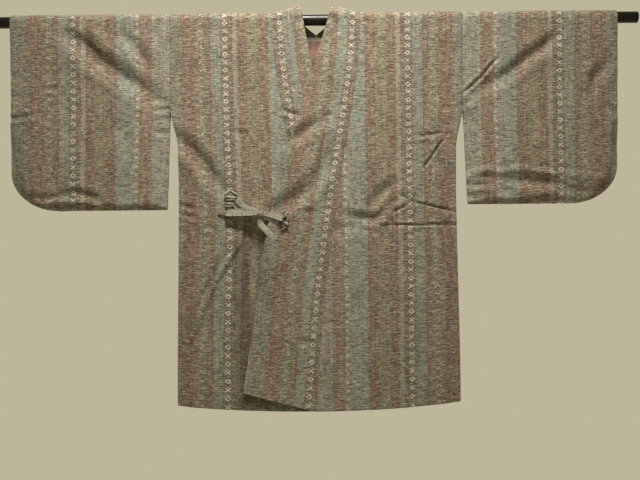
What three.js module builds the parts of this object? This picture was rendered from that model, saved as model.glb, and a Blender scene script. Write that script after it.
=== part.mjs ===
// A dochugi: a wrap-over kimono coat in striped tsumugi, hung on a straight rail through its sleeves.
// Millimetres. X runs along the rail towards the wearer's left, the front faces -Y and Z is up. The
// origin is on the rail's axis, at the coat's centre line. Sides: +1 is the wearer's left, -1 the right.
import * as THREE from 'three';

const WALL = 2; // outer cloth, interlining and lining together
const SEAM = 0.3; // between two pieces that are sewn to each other
const LINING_WALL = 1;
const TIE_WALL = 2;

const ROD_RADIUS = 12.5;
const ROD_LENGTH = 1420;
const ROD_SIDES = 32;
const FOLD_STEPS = 6; // steps of the half turn over the rail
// The wall's corners lie far enough out for its flat facets to clear the rail by a seam's gap.
const OVER_ROD = (ROD_RADIUS + SEAM) / Math.cos(Math.PI / FOLD_STEPS / 2) + WALL / 2;

const HANGING_GAP = 9; // half the space between front and back, wall middle to wall middle
const SEWN_GAP = WALL / 2 + SEAM / 2; // the same at a seam that joins front to back
const GAP_SETTLES_AT = -150; // below this the front and back hang a constant space apart
const LEAST_GAP = SEWN_GAP + 1.5; // the same where a fold draws the two together
const SEWN_REACH = 45; // a seam that joins front to back draws them together this far from it

const ARMHOLE_X = 322; // from the centre line to the sleeve's seam
const ARMHOLE_END_Z = -190; // below it the sleeve and the body's side are open
const SIDE_NARROWS_OVER = 100; // the body's side draws in over this height below the armhole
const SIDE_SEAM_TOP_Z = -330; // below it the body's side is sewn
const SIDE_OPENS_OVER = 50; // the side comes open over this height above the seam
const SIDE_FIRM_BELOW = 30; // and is drawn fully together this far below its top
const SIDE_X = 306;
const SIDE_HEM_X = 312.5;
const HEM_Z = -863;
const HEM_RISE = 16; // the hem is this much higher at the sides
const HEM_TILT = 2; // and hangs this much lower at the right side, higher at the left

const CUFF_X = 667;
const CUFF_SHIFT = 5; // the right cuff stands this much further out, the left one further in
const CUFF_END_Z = -225; // below it the sleeve's outer edge is sewn
const CUFF_CLOSES_OVER = 60; // and is drawn fully together this far below it
const SLEEVE_BOTTOM_Z = -410;
const RIGHT_SLEEVE_DROPS = 7; // the right sleeve's bottom hangs this much lower
const SLEEVE_INNER_LEAN = 9; // the free inner edge stands this much further out at the bottom
const CORNER_ACROSS = 105;
const CORNER_HEIGHT = 82;

const NECK_HALF_WIDTH = 98;
const NECK_DEPTH = 75; // the back neckline at the centre, below the rail's axis
const COLLAR_BACK_Y = 17.5;
const COLLAR_BACK_DROP = 32; // the collar's free edge at the centre back
const COLLAR_BACK_NARROWS = 3; // 1 closes the free edges to a U behind the neck, more to a sharper V

const LAP_LIFT = 4.5; // how far the overlapping left front stands in front of the right one
const LAP_STARTS_Z = -50;
const LAP_FULL_Z = -105;
const LAP_FULL_X = 180;
const LAP_ENDS_X = 240;

// The collar halves down the front, from the hem up. seamX is where the body's edge meets the collar and
// seamZ its height. The free edges are overX on the left half and underX on the right one, at edgeZ.
// Every x is from the centre line towards the half's own side.
const COLLAR_ROWS = [
  { seamZ: -863, seamX: -7, edgeZ: -820, overX: -167, underX: -160 },
  { seamZ: -750, seamX: 2, edgeZ: -728, overX: -152, underX: -147 },
  { seamZ: -655, seamX: 10, edgeZ: -643, overX: -139, underX: -136 },
  { seamZ: -565, seamX: 20, edgeZ: -559, overX: -128, underX: -126 },
  { seamZ: -478, seamX: 32, edgeZ: -476, overX: -114, underX: -112 },
  { seamZ: -412, seamX: 42, edgeZ: -412, overX: -101, underX: -99 },
  { seamZ: -350, seamX: 51, edgeZ: -350, overX: -84.5, underX: -80 },
  { seamZ: -285, seamX: 62, edgeZ: -285, overX: -65, underX: -58 },
  { seamZ: -235, seamX: 71, edgeZ: -236, overX: -51, underX: -40 },
  { seamZ: -170, seamX: 81, edgeZ: -171, overX: -26, underX: -15 },
  { seamZ: -107, seamX: 90, edgeZ: -107, overX: -8, underX: 8 },
  { seamZ: -50, seamX: 95.5, edgeZ: -45, overX: 12, underX: 20 },
  { seamZ: 0, seamX: 98, edgeZ: 10, overX: 29.5, underX: 30 },
];
// The collar's free edge as it passes over the rail, by the turn of the seam from front to back.
const COLLAR_OVER_ROD = [
  { turn: 0, x: 29.5, y: -17, z: 10 },
  { turn: 30, x: 31.5, y: -14, z: 20.5 },
  { turn: 60, x: 33.5, y: -8, z: 29 },
  { turn: 90, x: 34.5, y: 0, z: 33 },
  { turn: 120, x: 33, y: 9, z: 26 },
  { turn: 150, x: 30.5, y: 15, z: 12 },
  { turn: 180, x: 28, y: 17.5, z: 0 },
];

const FOLD_END_SHARE = 0.35; // of a fold's depth is left at its two ends
const FOLDS_START_Z = -20; // the cloth lies smooth on the rail and has its full folds below it
const FOLDS_FULL_Z = -70;

// The largest folds of the front: soft troughs, and ridges where depth is negative. Each runs along a
// bent line through three points and is deepest at the middle one. spread is its half width.
const FRONT_FOLDS = [
  // right sleeve, from the shoulder down to the armhole
  { x1: -575, z1: -5, x2: -467, z2: -97, x3: -340, z3: -178, spread: 25, depth: 6.5 },
  // left sleeve, the same, and the roll above its bottom seam
  { x1: 530, z1: -25, x2: 430, z2: -115, x3: 335, z3: -170, spread: 25, depth: 6.5 },
  { x1: 345, z1: -352, x2: 440, z2: -330, x3: 640, z3: -352, spread: 28, depth: -6 },
  // right front, from the side slit to the tie, then the hollow below it and the ridge beside that
  { x1: -312, z1: -262, x2: -258, z2: -313, x3: -205, z3: -378, spread: 22, depth: 6.5 },
  { x1: -165, z1: -425, x2: -150, z2: -480, x3: -158, z3: -600, spread: 34, depth: 6 },
  { x1: -180, z1: -470, x2: -235, z2: -580, x3: -292, z3: -730, spread: 26, depth: -5 },
  // left front, from the tie up to the shoulder seam, and the arch above the hip
  { x1: -75, z1: -415, x2: -6, z2: -351, x3: 62, z3: -258, spread: 26, depth: 4.5 },
  { x1: 120, z1: -455, x2: 215, z2: -405, x3: 320, z3: -425, spread: 24, depth: -6.5 },
  { x1: 290, z1: -245, x2: 245, z2: -320, x3: 100, z3: -445, spread: 26, depth: 5 },
];
const BACK_FOLDS = [
  { x1: -560, z1: -10, x2: -450, z2: -110, x3: -340, z3: -175, spread: 30, depth: 4 },
  { x1: 545, z1: -20, x2: 440, z2: -105, x3: 335, z3: -180, spread: 30, depth: 4 },
  { x1: -310, z1: -230, x2: -230, z2: -350, x3: -120, z3: -480, spread: 32, depth: 4 },
  { x1: 310, z1: -240, x2: 240, z2: -340, x3: 150, z3: -430, spread: 32, depth: 4 },
];

// The tie lies on the right front and crosses the left front's edge. x and z are the middle of a section,
// rise is how far it stands off the right front's face, and width is the strip's.
const TIE_KNOT = { x: -124, z: -427, across: 12, height: 19, rise: 0.3, thickness: 13 };
const TIE_BASE_RIGHT = { x: -190, z: -386, across: 30, height: 26, petals: 3, inset: 0.93, thickness: 6 };
const TIE_BASE_LEFT = { x: -72, z: -441, across: 24, height: 50, petals: 5, inset: 0.6, thickness: 4.5 };
const TIE_STRIPS = {
  tie_strap_right: [
    { x: -190, z: -402, rise: 1.5, width: 12 },
    { x: -160, z: -421, rise: 1.5, width: 12 },
    { x: -132.2, z: -430, rise: 1.5, width: 9 },
  ],
  tie_tail_right: [
    { x: -178, z: -395, rise: 4.2, width: 12.6 },
    { x: -158, z: -413, rise: 4.2, width: 12.6 },
    { x: -131.8, z: -421, rise: 4.2, width: 9 },
  ],
  tie_loop_right: [
    { x: -130.8, z: -426, rise: 7.8, width: 9 },
    { x: -150, z: -425, rise: 7.6, width: 14 },
    { x: -188, z: -425, rise: 7.2, width: 15 },
    { x: -197, z: -425, rise: 8.2, width: 14 },
    { x: -200, z: -425, rise: 10.2, width: 13 },
    { x: -197, z: -425, rise: 12.2, width: 14 },
    { x: -180, z: -424, rise: 13.6, width: 16 },
    { x: -150, z: -424, rise: 13.2, width: 15 },
    { x: -130.8, z: -426, rise: 11.6, width: 9 },
  ],
  tie_stub_right: [
    { x: -186, z: -425, rise: 4.9, width: 12 },
    { x: -205, z: -424.5, rise: 4.6, width: 12.5 },
    { x: -221, z: -423.5, rise: 4.2, width: 11 },
  ],
  tie_strap_left: [
    { x: -84.4, z: -445, rise: 6.3, width: 11 },
    { x: -100, z: -441, rise: 6.3, width: 11 },
    { x: -117.4, z: -433, rise: 6.3, width: 9 },
  ],
  tie_loop_left: [
    { x: -117.4, z: -427, rise: 8.7, width: 9 },
    { x: -103, z: -430, rise: 9, width: 11 },
    { x: -90, z: -433, rise: 11.7, width: 14 },
    { x: -79, z: -436, rise: 12.6, width: 15 },
    { x: -76.4, z: -436, rise: 14.4, width: 14 },
    { x: -79, z: -436, rise: 16.2, width: 15 },
    { x: -95, z: -431, rise: 15.6, width: 14 },
    { x: -117.4, z: -427, rise: 12, width: 9 },
  ],
  tie_tail_left: [
    { x: -124, z: -437.4, rise: 9.4, width: 9 },
    { x: -118, z: -449, rise: 9.2, width: 13 },
    { x: -106, z: -464, rise: 7.8, width: 13 },
    { x: -92, z: -481, rise: 6.8, width: 13 },
  ],
};

const COLOURS = { cloth: 0x7b6d5c, lining: 0xa0685a, tie: 0x8f8d7b, rod: 0x121213 };

const clamp01 = (t) => Math.min(1, Math.max(0, t));
const smooth = (from, to, at) => {
  const t = clamp01((at - from) / (to - from));
  return t * t * (3 - 2 * t);
};
const mix = (a, b, t) => a + (b - a) * t;
const evenSteps = (count, from = 0, to = 1) =>
  Array.from({ length: count + 1 }, (_, i) => mix(from, to, i / count));

// A smooth value of one column of a table, whose rows rise by another column.
function lookUp(rows, by, column, at) {
  const last = rows.length - 1;
  let i = rows.findIndex((row) => at <= row[by]);
  if (i < 0) i = last;
  i = Math.max(1, i);
  const [before, from, to, after] = [i - 2, i - 1, i, i + 1].map((k) => rows[Math.min(last, Math.max(0, k))]);
  const span = to[by] - from[by];
  const t = clamp01((at - from[by]) / span);
  const slope = (a, b) => (b[by] === a[by] ? 0 : ((b[column] - a[column]) / (b[by] - a[by])) * span);
  const [startSlope, endSlope] = [slope(before, to), slope(from, after)];
  const [t2, t3] = [t * t, t * t * t];
  return (2 * t3 - 3 * t2 + 1) * from[column] + (t3 - 2 * t2 + t) * startSlope
    + (3 * t2 - 2 * t3) * to[column] + (t3 - t2) * endSlope;
}

// How deep one fold is at a point of the front or back.
function foldDepth(fold, x, z) {
  const parts = [
    [fold.x1, fold.z1, fold.x2, fold.z2, 0],
    [fold.x2, fold.z2, fold.x3, fold.z3, 1],
  ];
  let nearest = { distance: Infinity, along: 0 };
  for (const [ax, az, bx, bz, start] of parts) {
    const [dx, dz] = [bx - ax, bz - az];
    const t = clamp01(((x - ax) * dx + (z - az) * dz) / (dx * dx + dz * dz));
    const distance = Math.hypot(x - ax - t * dx, z - az - t * dz);
    if (distance < nearest.distance) nearest = { distance, along: (start + t) / 2 };
  }
  const across = nearest.distance / fold.spread;
  return fold.depth * Math.exp(-across * across) * mix(FOLD_END_SHARE, 1, Math.sin(Math.PI * nearest.along));
}

// Half the space between front and back, wall middle to wall middle, away from seams.
const hangingGap = (z) => mix(OVER_ROD, HANGING_GAP, smooth(0, GAP_SETTLES_AT, z));

// The Y of a wall's middle on the front (face -1) or the back (face 1). sewn is how near the point is to a
// seam that joins the two, from 0 to 1, and lift is how far it stands off the plain hanging surface.
function faceY(face, x, z, sewn, lift) {
  const folds = face < 0 ? FRONT_FOLDS : BACK_FOLDS;
  const depth = folds.reduce((sum, fold) => sum + foldDepth(fold, x, z), 0);
  const free = Math.max(LEAST_GAP, hangingGap(z) - depth * smooth(FOLDS_START_Z, FOLDS_FULL_Z, z));
  return face * (mix(free, SEWN_GAP, sewn) + lift);
}

// How far out the body's side stands: at the armhole, down the open slit and down the side seam.
const sideX = (z) => {
  if (z > ARMHOLE_END_Z) return ARMHOLE_X - SEAM / 2;
  const narrowed = mix(ARMHOLE_X - SEAM / 2, SIDE_X, smooth(ARMHOLE_END_Z, ARMHOLE_END_Z - SIDE_NARROWS_OVER, z));
  return mix(narrowed, SIDE_HEM_X, smooth(SIDE_SEAM_TOP_Z, HEM_Z, z));
};

// How near a point of the body is to the sewn part of its side, from 0 to 1.
const sideSewn = (x, z) =>
  smooth(SIDE_SEAM_TOP_Z + SIDE_OPENS_OVER, SIDE_SEAM_TOP_Z - SIDE_FIRM_BELOW, z)
  * smooth(SEWN_REACH, 0, sideX(z) - Math.abs(x));

// How far the left front's lap stands forward at a point.
const lapLift = (side, x, z) =>
  side < 0 ? 0 : LAP_LIFT * smooth(LAP_STARTS_Z, LAP_FULL_Z, z) * smooth(LAP_ENDS_X, LAP_FULL_X, x);

// The same as faceY, for a body panel or collar half of one side.
const bodyY = (face, side, x, z) => faceY(face, x, z, sideSewn(x, z), face < 0 ? lapLift(side, x, z) : 0);

// The hem rises towards the sides, and the rows above it follow less and less.
const hemmed = (x, z) => {
  const out = x / SIDE_HEM_X;
  return z + (HEM_RISE * out ** 2 + HEM_TILT * out) * clamp01(z / HEM_Z) ** 3;
};

// Closes a grid of wall middles into one shell of the given thickness. columns[i][j] is a Vector3. The
// wall thickens up and down and to front and back only, so its edges keep their places along X.
function shell(columns, wall) {
  const [across, along] = [columns.length, columns[0].length];
  const at = (i, j) => columns[Math.min(across - 1, Math.max(0, i))][Math.min(along - 1, Math.max(0, j))];
  const positions = [];
  for (const sideOfWall of [0.5, -0.5]) {
    for (let i = 0; i < across; i += 1) {
      for (let j = 0; j < along; j += 1) {
        const acrossStep = new THREE.Vector3().subVectors(at(i + 1, j), at(i - 1, j));
        const alongStep = new THREE.Vector3().subVectors(at(i, j + 1), at(i, j - 1));
        const normal = acrossStep.cross(alongStep).setX(0).normalize();
        positions.push(...at(i, j).clone().addScaledVector(normal, sideOfWall * wall).toArray());
      }
    }
  }
  const corner = (layer, i, j) => (layer * across + i) * along + j;
  const index = [];
  const quad = (a, b, c, d) => index.push(a, b, c, a, c, d);
  for (let i = 0; i + 1 < across; i += 1) {
    for (let j = 0; j + 1 < along; j += 1) {
      quad(corner(0, i, j), corner(0, i + 1, j), corner(0, i + 1, j + 1), corner(0, i, j + 1));
      quad(corner(1, i, j), corner(1, i, j + 1), corner(1, i + 1, j + 1), corner(1, i + 1, j));
    }
  }
  for (let i = 0; i + 1 < across; i += 1) {
    const end = along - 1;
    quad(corner(0, i, 0), corner(1, i, 0), corner(1, i + 1, 0), corner(0, i + 1, 0));
    quad(corner(0, i, end), corner(0, i + 1, end), corner(1, i + 1, end), corner(1, i, end));
  }
  for (let j = 0; j + 1 < along; j += 1) {
    const end = across - 1;
    quad(corner(0, 0, j), corner(0, 0, j + 1), corner(1, 0, j + 1), corner(1, 0, j));
    quad(corner(0, end, j), corner(1, end, j), corner(1, end, j + 1), corner(0, end, j + 1));
  }
  const geometry = new THREE.BufferGeometry();
  geometry.setAttribute('position', new THREE.Float32BufferAttribute(positions, 3));
  geometry.setIndex(index);
  return geometry;
}

// A grid's columns run from the front hem over the rail to the back hem. Seen from outside, the next
// column has to lie on the right of the last, so the left side's columns run outwards.
const ordered = (side, columns) => (side > 0 ? columns : [...columns].reverse());

// Heights down the front, from the bottom up to the rail's axis, closer together where folds are.
const FOLDS_END_Z = -590;
const FRONT_LEVELS = [
  ...evenSteps(5, HEM_Z, FOLDS_END_Z),
  ...evenSteps(13, FOLDS_END_Z, ARMHOLE_END_Z).slice(1),
  ...evenSteps(6, ARMHOLE_END_Z, 0).slice(1),
];
const NECK_TURNS = evenSteps(6, 0, Math.PI / 2).slice(1);
const BACK_LEVELS = [
  ...evenSteps(2, -NECK_DEPTH, ARMHOLE_END_Z).slice(1),
  ...evenSteps(8, ARMHOLE_END_Z, FOLDS_END_Z).slice(1),
  ...evenSteps(4, FOLDS_END_Z, HEM_Z).slice(1),
];
const ROD_TURNS = evenSteps(FOLD_STEPS, 0, Math.PI);
const BODY_COLUMNS = 13;

// One body panel, front and back in one length over the shoulder.
function bodyPanel(side) {
  const front = FRONT_LEVELS.slice(0, -1).map((z) => ({
    face: -1,
    z,
    innerX: lookUp(COLLAR_ROWS, 'seamZ', 'seamX', z) + SEAM / 2,
  }));
  const overRod = ROD_TURNS.map((turn) => ({ turn, innerX: NECK_HALF_WIDTH + SEAM / 2 }));
  const neck = NECK_TURNS.map((turn) => ({
    face: 1,
    z: -(NECK_DEPTH + SEAM / 2) * Math.sin(turn),
    innerX: Math.max(SEAM / 2, (NECK_HALF_WIDTH + SEAM / 2) * Math.cos(turn)),
  }));
  const back = BACK_LEVELS.map((z) => ({ face: 1, z, innerX: SEAM / 2 }));
  const rows = [...front, ...overRod, ...neck, ...back];
  const columns = evenSteps(BODY_COLUMNS).map((share) =>
    rows.map(({ face, z, turn, innerX }) => {
      if (turn !== undefined) {
        const x = side * mix(innerX, ARMHOLE_X - SEAM / 2, share);
        return new THREE.Vector3(x, -OVER_ROD * Math.cos(turn), OVER_ROD * Math.sin(turn));
      }
      const x = side * mix(innerX, sideX(z), share);
      return new THREE.Vector3(x, bodyY(face, side, x, z), hemmed(x, z));
    }));
  return shell(ordered(side, columns), WALL);
}

const SLEEVE_COLUMNS = 13;
const CORNER_TURNS = evenSteps(4, Math.PI / 2, 0);
const SLEEVE_FRONT_LEVELS = [
  ...CORNER_TURNS.map((turn) => SLEEVE_BOTTOM_Z + CORNER_HEIGHT * (1 - Math.sin(turn))),
  ...evenSteps(4, SLEEVE_BOTTOM_Z + CORNER_HEIGHT, ARMHOLE_END_Z).slice(1),
  ...evenSteps(6, ARMHOLE_END_Z, 0).slice(1, -1),
];
const SLEEVE_BACK_LEVELS = [
  ...evenSteps(3, 0, ARMHOLE_END_Z).slice(1),
  ...evenSteps(2, ARMHOLE_END_Z, SLEEVE_BOTTOM_Z + CORNER_HEIGHT).slice(1),
  ...CORNER_TURNS.map((turn) => SLEEVE_BOTTOM_Z + CORNER_HEIGHT * (1 - Math.sin(turn))).reverse().slice(1),
];

const cuffX = (side) => CUFF_X - side * CUFF_SHIFT;
const sleeveOuterX = (side, z) => {
  const below = clamp01((SLEEVE_BOTTOM_Z + CORNER_HEIGHT - z) / CORNER_HEIGHT);
  return cuffX(side) - CORNER_ACROSS * (1 - Math.sqrt(1 - below * below));
};
// 0 down to the armhole's end and 1 at the sleeve's bottom.
const belowArmhole = (z) => clamp01((ARMHOLE_END_Z - z) / (ARMHOLE_END_Z - SLEEVE_BOTTOM_Z));
const sleeveInnerX = (z) => ARMHOLE_X + SEAM / 2 + SLEEVE_INNER_LEAN * belowArmhole(z);
const sleeveDrop = (side, z) => (side < 0 ? RIGHT_SLEEVE_DROPS * belowArmhole(z) : 0);

// How near a point of the sleeve is to its sewn bottom or to the sewn part of its outer edge.
function sleeveSewn(side, x, z) {
  const atBottom = smooth(SLEEVE_BOTTOM_Z + SEWN_REACH, SLEEVE_BOTTOM_Z, z);
  const belowCuff = smooth(CUFF_END_Z, CUFF_END_Z - CUFF_CLOSES_OVER, z);
  const atEdge = belowCuff * smooth(SEWN_REACH, 0, sleeveOuterX(side, z) - Math.abs(x));
  return Math.max(atBottom, atEdge);
}

// One sleeve, cut in one length over the shoulder and sewn along the bottom and below the cuff.
function sleeve(side) {
  const row = (face) => (z) => ({ face, z });
  const rows = [
    ...SLEEVE_FRONT_LEVELS.map(row(-1)),
    ...ROD_TURNS.map((turn) => ({ turn })),
    ...SLEEVE_BACK_LEVELS.map(row(1)),
  ];
  const columns = evenSteps(SLEEVE_COLUMNS).map((share) =>
    rows.map(({ face, z, turn }) => {
      if (turn !== undefined) {
        const x = side * mix(ARMHOLE_X + SEAM / 2, cuffX(side), share);
        return new THREE.Vector3(x, -OVER_ROD * Math.cos(turn), OVER_ROD * Math.sin(turn));
      }
      const x = side * mix(sleeveInnerX(z), sleeveOuterX(side, z), share);
      return new THREE.Vector3(x, faceY(face, x, z, sleeveSewn(side, x, z), 0), z - sleeveDrop(side, z));
    }));
  return shell(ordered(side, columns), WALL);
}

const COLLAR_COLUMNS = 5;

// One collar half, from the front hem, over the rail beside the neck, to the centre back seam.
function collarHalf(side) {
  const edgeColumn = side > 0 ? 'overX' : 'underX';
  const onFront = (x, z) => new THREE.Vector3(side * x, bodyY(-1, side, side * x, z), z);
  const front = FRONT_LEVELS.slice(0, -1).map((z) => {
    const seamX = lookUp(COLLAR_ROWS, 'seamZ', 'seamX', z) - SEAM / 2;
    const edgeX = lookUp(COLLAR_ROWS, 'seamZ', edgeColumn, z);
    const edgeZ = lookUp(COLLAR_ROWS, 'seamZ', 'edgeZ', z);
    return (share) => onFront(mix(seamX, edgeX, share), mix(hemmed(side * seamX, z), edgeZ, share));
  });
  const overRod = ROD_TURNS.map((turn) => {
    const seam = new THREE.Vector3(
      side * (NECK_HALF_WIDTH - SEAM / 2), -OVER_ROD * Math.cos(turn), OVER_ROD * Math.sin(turn));
    const [x, y, z] = ['x', 'y', 'z'].map((axis) =>
      lookUp(COLLAR_OVER_ROD, 'turn', axis, THREE.MathUtils.radToDeg(turn)));
    return (share) => seam.clone().lerp(new THREE.Vector3(side * x, y, z), share);
  });
  const behindNeck = COLLAR_OVER_ROD[COLLAR_OVER_ROD.length - 1].x;
  const back = NECK_TURNS.map((turn) => {
    const z = -(NECK_DEPTH - SEAM / 2) * Math.sin(turn);
    const seamX = Math.max(SEAM / 2, (NECK_HALF_WIDTH - SEAM / 2) * Math.cos(turn));
    const seam = new THREE.Vector3(side * seamX, bodyY(1, side, side * seamX, z), z);
    const edgeX = Math.max(SEAM / 2, behindNeck * Math.cos(turn) ** COLLAR_BACK_NARROWS);
    const edge = new THREE.Vector3(side * edgeX, COLLAR_BACK_Y, -COLLAR_BACK_DROP * Math.sin(turn));
    return (share) => seam.clone().lerp(edge, share);
  });
  const rows = [...front, ...overRod, ...back];
  const columns = evenSteps(COLLAR_COLUMNS).map((share) => rows.map((row) => row(share)));
  return shell(ordered(-side, columns), WALL);
}

const LINING_HALF_WIDTH = 120;
const LINING_TOP_Z = -45;
const LINING_BOTTOM_Z = -215;
const LINING_SEAM_RISE = 22; // its top edge rises towards the shoulders

// The lining where the neck opening shows it, laid inside the back.
function backLining() {
  const inwards = WALL / 2 + LINING_WALL / 2 + SEAM;
  const columns = evenSteps(8, -1, 1).map((share) =>
    evenSteps(5).map((down) => {
      const x = share * LINING_HALF_WIDTH;
      const z = mix(LINING_TOP_Z + LINING_SEAM_RISE * share * share, LINING_BOTTOM_Z, down);
      return new THREE.Vector3(x, bodyY(1, 1, x, z) - inwards, z);
    }));
  return shell(columns, LINING_WALL);
}

// The right front's outer face, which the tie's pieces are set off from.
const tieGroundY = (x, z) => bodyY(-1, -1, x, z) - WALL / 2;

// Where a flat piece of the tie has to lie to clear the curved front below all of it.
const flatGroundY = (x, z, across, height) => Math.min(...[-0.5, -0.25, 0, 0.25, 0.5].flatMap((part) => [
  tieGroundY(x + part * across, z),
  tieGroundY(x, z + part * height),
]));

// A flat strip of cloth through the given sections, standing its rise off the ground.
function strip(sections) {
  const middles = sections.map(({ x, z, rise }) => new THREE.Vector3(x, tieGroundY(x, z) - rise, z));
  const [first, halfway] = [middles[0], middles[Math.floor(middles.length / 2)]];
  const widthWay = new THREE.Vector3(first.z - halfway.z, 0, halfway.x - first.x).normalize();
  const positions = [];
  middles.forEach((middle, i) => {
    const [before, after] = [middles[Math.max(0, i - 1)], middles[Math.min(middles.length - 1, i + 1)]];
    const along = new THREE.Vector3().subVectors(after, before);
    const outwards = along.cross(widthWay).normalize();
    for (const [w, t] of [[-1, -1], [1, -1], [1, 1], [-1, 1]]) {
      positions.push(...middle.clone()
        .addScaledVector(widthWay, (w * sections[i].width) / 2)
        .addScaledVector(outwards, (t * TIE_WALL) / 2)
        .toArray());
    }
  });
  const index = [];
  const quad = (a, b, c, d) => index.push(a, b, c, a, c, d);
  for (let i = 0; i + 1 < middles.length; i += 1) {
    for (let k = 0; k < 4; k += 1) {
      const next = (k + 1) % 4;
      quad(4 * i + k, 4 * i + next, 4 * i + 4 + next, 4 * i + 4 + k);
    }
  }
  const end = 4 * (middles.length - 1);
  quad(3, 2, 1, 0);
  quad(end, end + 1, end + 2, end + 3);
  const geometry = new THREE.BufferGeometry();
  geometry.setAttribute('position', new THREE.Float32BufferAttribute(positions, 3));
  geometry.setIndex(index);
  return geometry;
}

// The folded ornament that sews a tie down: a rosette whose points stand out between insets.
function tieBase({ x, z, across, height, petals, inset, thickness }, standsOff) {
  const outline = new THREE.Shape();
  const corners = 2 * petals;
  for (let i = 0; i < corners; i += 1) {
    const turn = (2 * Math.PI * i) / corners;
    const reach = i % 2 ? inset : 1;
    const corner = [(across / 2) * reach * Math.sin(turn), (height / 2) * reach * Math.cos(turn)];
    if (i) outline.lineTo(...corner);
    else outline.moveTo(...corner);
  }
  const bevel = thickness / 4;
  const geometry = new THREE.ExtrudeGeometry(outline, {
    depth: thickness - 2 * bevel, bevelThickness: bevel, bevelSize: bevel, bevelOffset: -bevel, bevelSegments: 2,
  });
  geometry.rotateX(Math.PI / 2).translate(x, flatGroundY(x, z, across, height) - standsOff - bevel, z);
  return geometry;
}

// The tie's knot: a rounded lump across both straps.
function tieKnot({ x, z, across, height, rise, thickness }) {
  const outline = new THREE.Shape();
  outline.absellipse(0, 0, across / 2, height / 2, 0, 2 * Math.PI);
  const bevel = thickness / 5;
  const geometry = new THREE.ExtrudeGeometry(outline, {
    depth: thickness - 2 * bevel, bevelThickness: bevel, bevelSize: bevel, bevelOffset: -bevel,
    bevelSegments: 2, curveSegments: 8,
  });
  geometry.rotateX(Math.PI / 2).translate(x, flatGroundY(x, z, across, height) - rise - bevel, z);
  return geometry;
}

const materials = {
  cloth: new THREE.MeshStandardMaterial({ color: COLOURS.cloth, roughness: 0.9, metalness: 0 }),
  lining: new THREE.MeshStandardMaterial({ color: COLOURS.lining, roughness: 0.6, metalness: 0 }),
  tie: new THREE.MeshStandardMaterial({ color: COLOURS.tie, roughness: 0.9, metalness: 0 }),
  rod: new THREE.MeshStandardMaterial({ color: COLOURS.rod, roughness: 0.35, metalness: 0.2 }),
};

const coat = new THREE.Group();
function add(name, geometry, material) {
  const mesh = new THREE.Mesh(geometry, materials[material]);
  mesh.name = name;
  coat.add(mesh);
}

const rodGeometry = new THREE.CylinderGeometry(ROD_RADIUS, ROD_RADIUS, ROD_LENGTH, ROD_SIDES);
rodGeometry.rotateZ(Math.PI / 2);
add('rod', rodGeometry, 'rod');
for (const [name, side] of [['left', 1], ['right', -1]]) {
  add(`body_${name}`, bodyPanel(side), 'cloth');
  add(`sleeve_${name}`, sleeve(side), 'cloth');
  add(`collar_${name}`, collarHalf(side), 'cloth');
}
add('lining_back', backLining(), 'lining');
add('tie_base_right', tieBase(TIE_BASE_RIGHT, SEAM), 'tie');
add('tie_base_left', tieBase(TIE_BASE_LEFT, LAP_LIFT + SEAM), 'tie');
add('tie_knot', tieKnot(TIE_KNOT), 'tie');
for (const [name, sections] of Object.entries(TIE_STRIPS)) {
  add(name, strip(sections), 'tie');
}

export default coat;
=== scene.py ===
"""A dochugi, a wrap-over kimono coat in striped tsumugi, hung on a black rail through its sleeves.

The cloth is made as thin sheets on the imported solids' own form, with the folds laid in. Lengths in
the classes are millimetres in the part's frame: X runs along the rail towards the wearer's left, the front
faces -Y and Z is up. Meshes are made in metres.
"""

import logging
import math
from collections.abc import Callable
from dataclasses import dataclass
from enum import Enum
from functools import partial

import bpy
import numpy as np
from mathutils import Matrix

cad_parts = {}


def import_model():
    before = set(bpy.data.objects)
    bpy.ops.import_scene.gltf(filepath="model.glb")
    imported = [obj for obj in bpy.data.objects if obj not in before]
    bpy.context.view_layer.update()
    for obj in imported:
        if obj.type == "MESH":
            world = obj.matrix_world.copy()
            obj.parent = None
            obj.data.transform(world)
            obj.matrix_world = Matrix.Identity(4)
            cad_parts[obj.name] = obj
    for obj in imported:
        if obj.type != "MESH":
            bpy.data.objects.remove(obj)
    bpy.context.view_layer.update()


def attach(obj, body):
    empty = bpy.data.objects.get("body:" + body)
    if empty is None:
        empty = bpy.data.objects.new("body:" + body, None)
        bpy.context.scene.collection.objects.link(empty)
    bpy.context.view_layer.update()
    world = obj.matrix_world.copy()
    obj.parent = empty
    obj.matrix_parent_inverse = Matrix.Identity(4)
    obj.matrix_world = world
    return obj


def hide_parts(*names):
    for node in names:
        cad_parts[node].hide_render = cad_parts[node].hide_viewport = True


MM = 0.001
BODY = "root"
Values = float | np.ndarray
Column = list | tuple | np.ndarray
Material = bpy.types.Material
Socket = bpy.types.NodeSocket
Input = Socket | float | tuple | None
log = logging.getLogger("coat")


class Side(Enum):
    """The wearer's sides, as signs of X."""

    LEFT = 1
    RIGHT = -1

    @property
    def word(self) -> str:
        """The side as the names of pieces have it."""
        return self.name.lower()


class Face(Enum):
    """The coat's two faces."""

    FRONT = 1
    BACK = 2


# ---------------------------------------------------------------- small sums


def smooth(start: float, end: float, at: Values) -> Values:
    """A soft step from 0 at start to 1 at end."""
    t = np.clip((np.asarray(at, float) - start) / (end - start), 0, 1)
    return t * t * (3 - 2 * t)


def bell(at: Values) -> Values:
    """1 at 0, falling softly to almost 0 at 2 on either side."""
    return np.exp(-(at**2))


def mix(a: Values, b: Values, t: Values) -> Values:
    """The value a share t of the way from a to b."""
    return a + (b - a) * t


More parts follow.
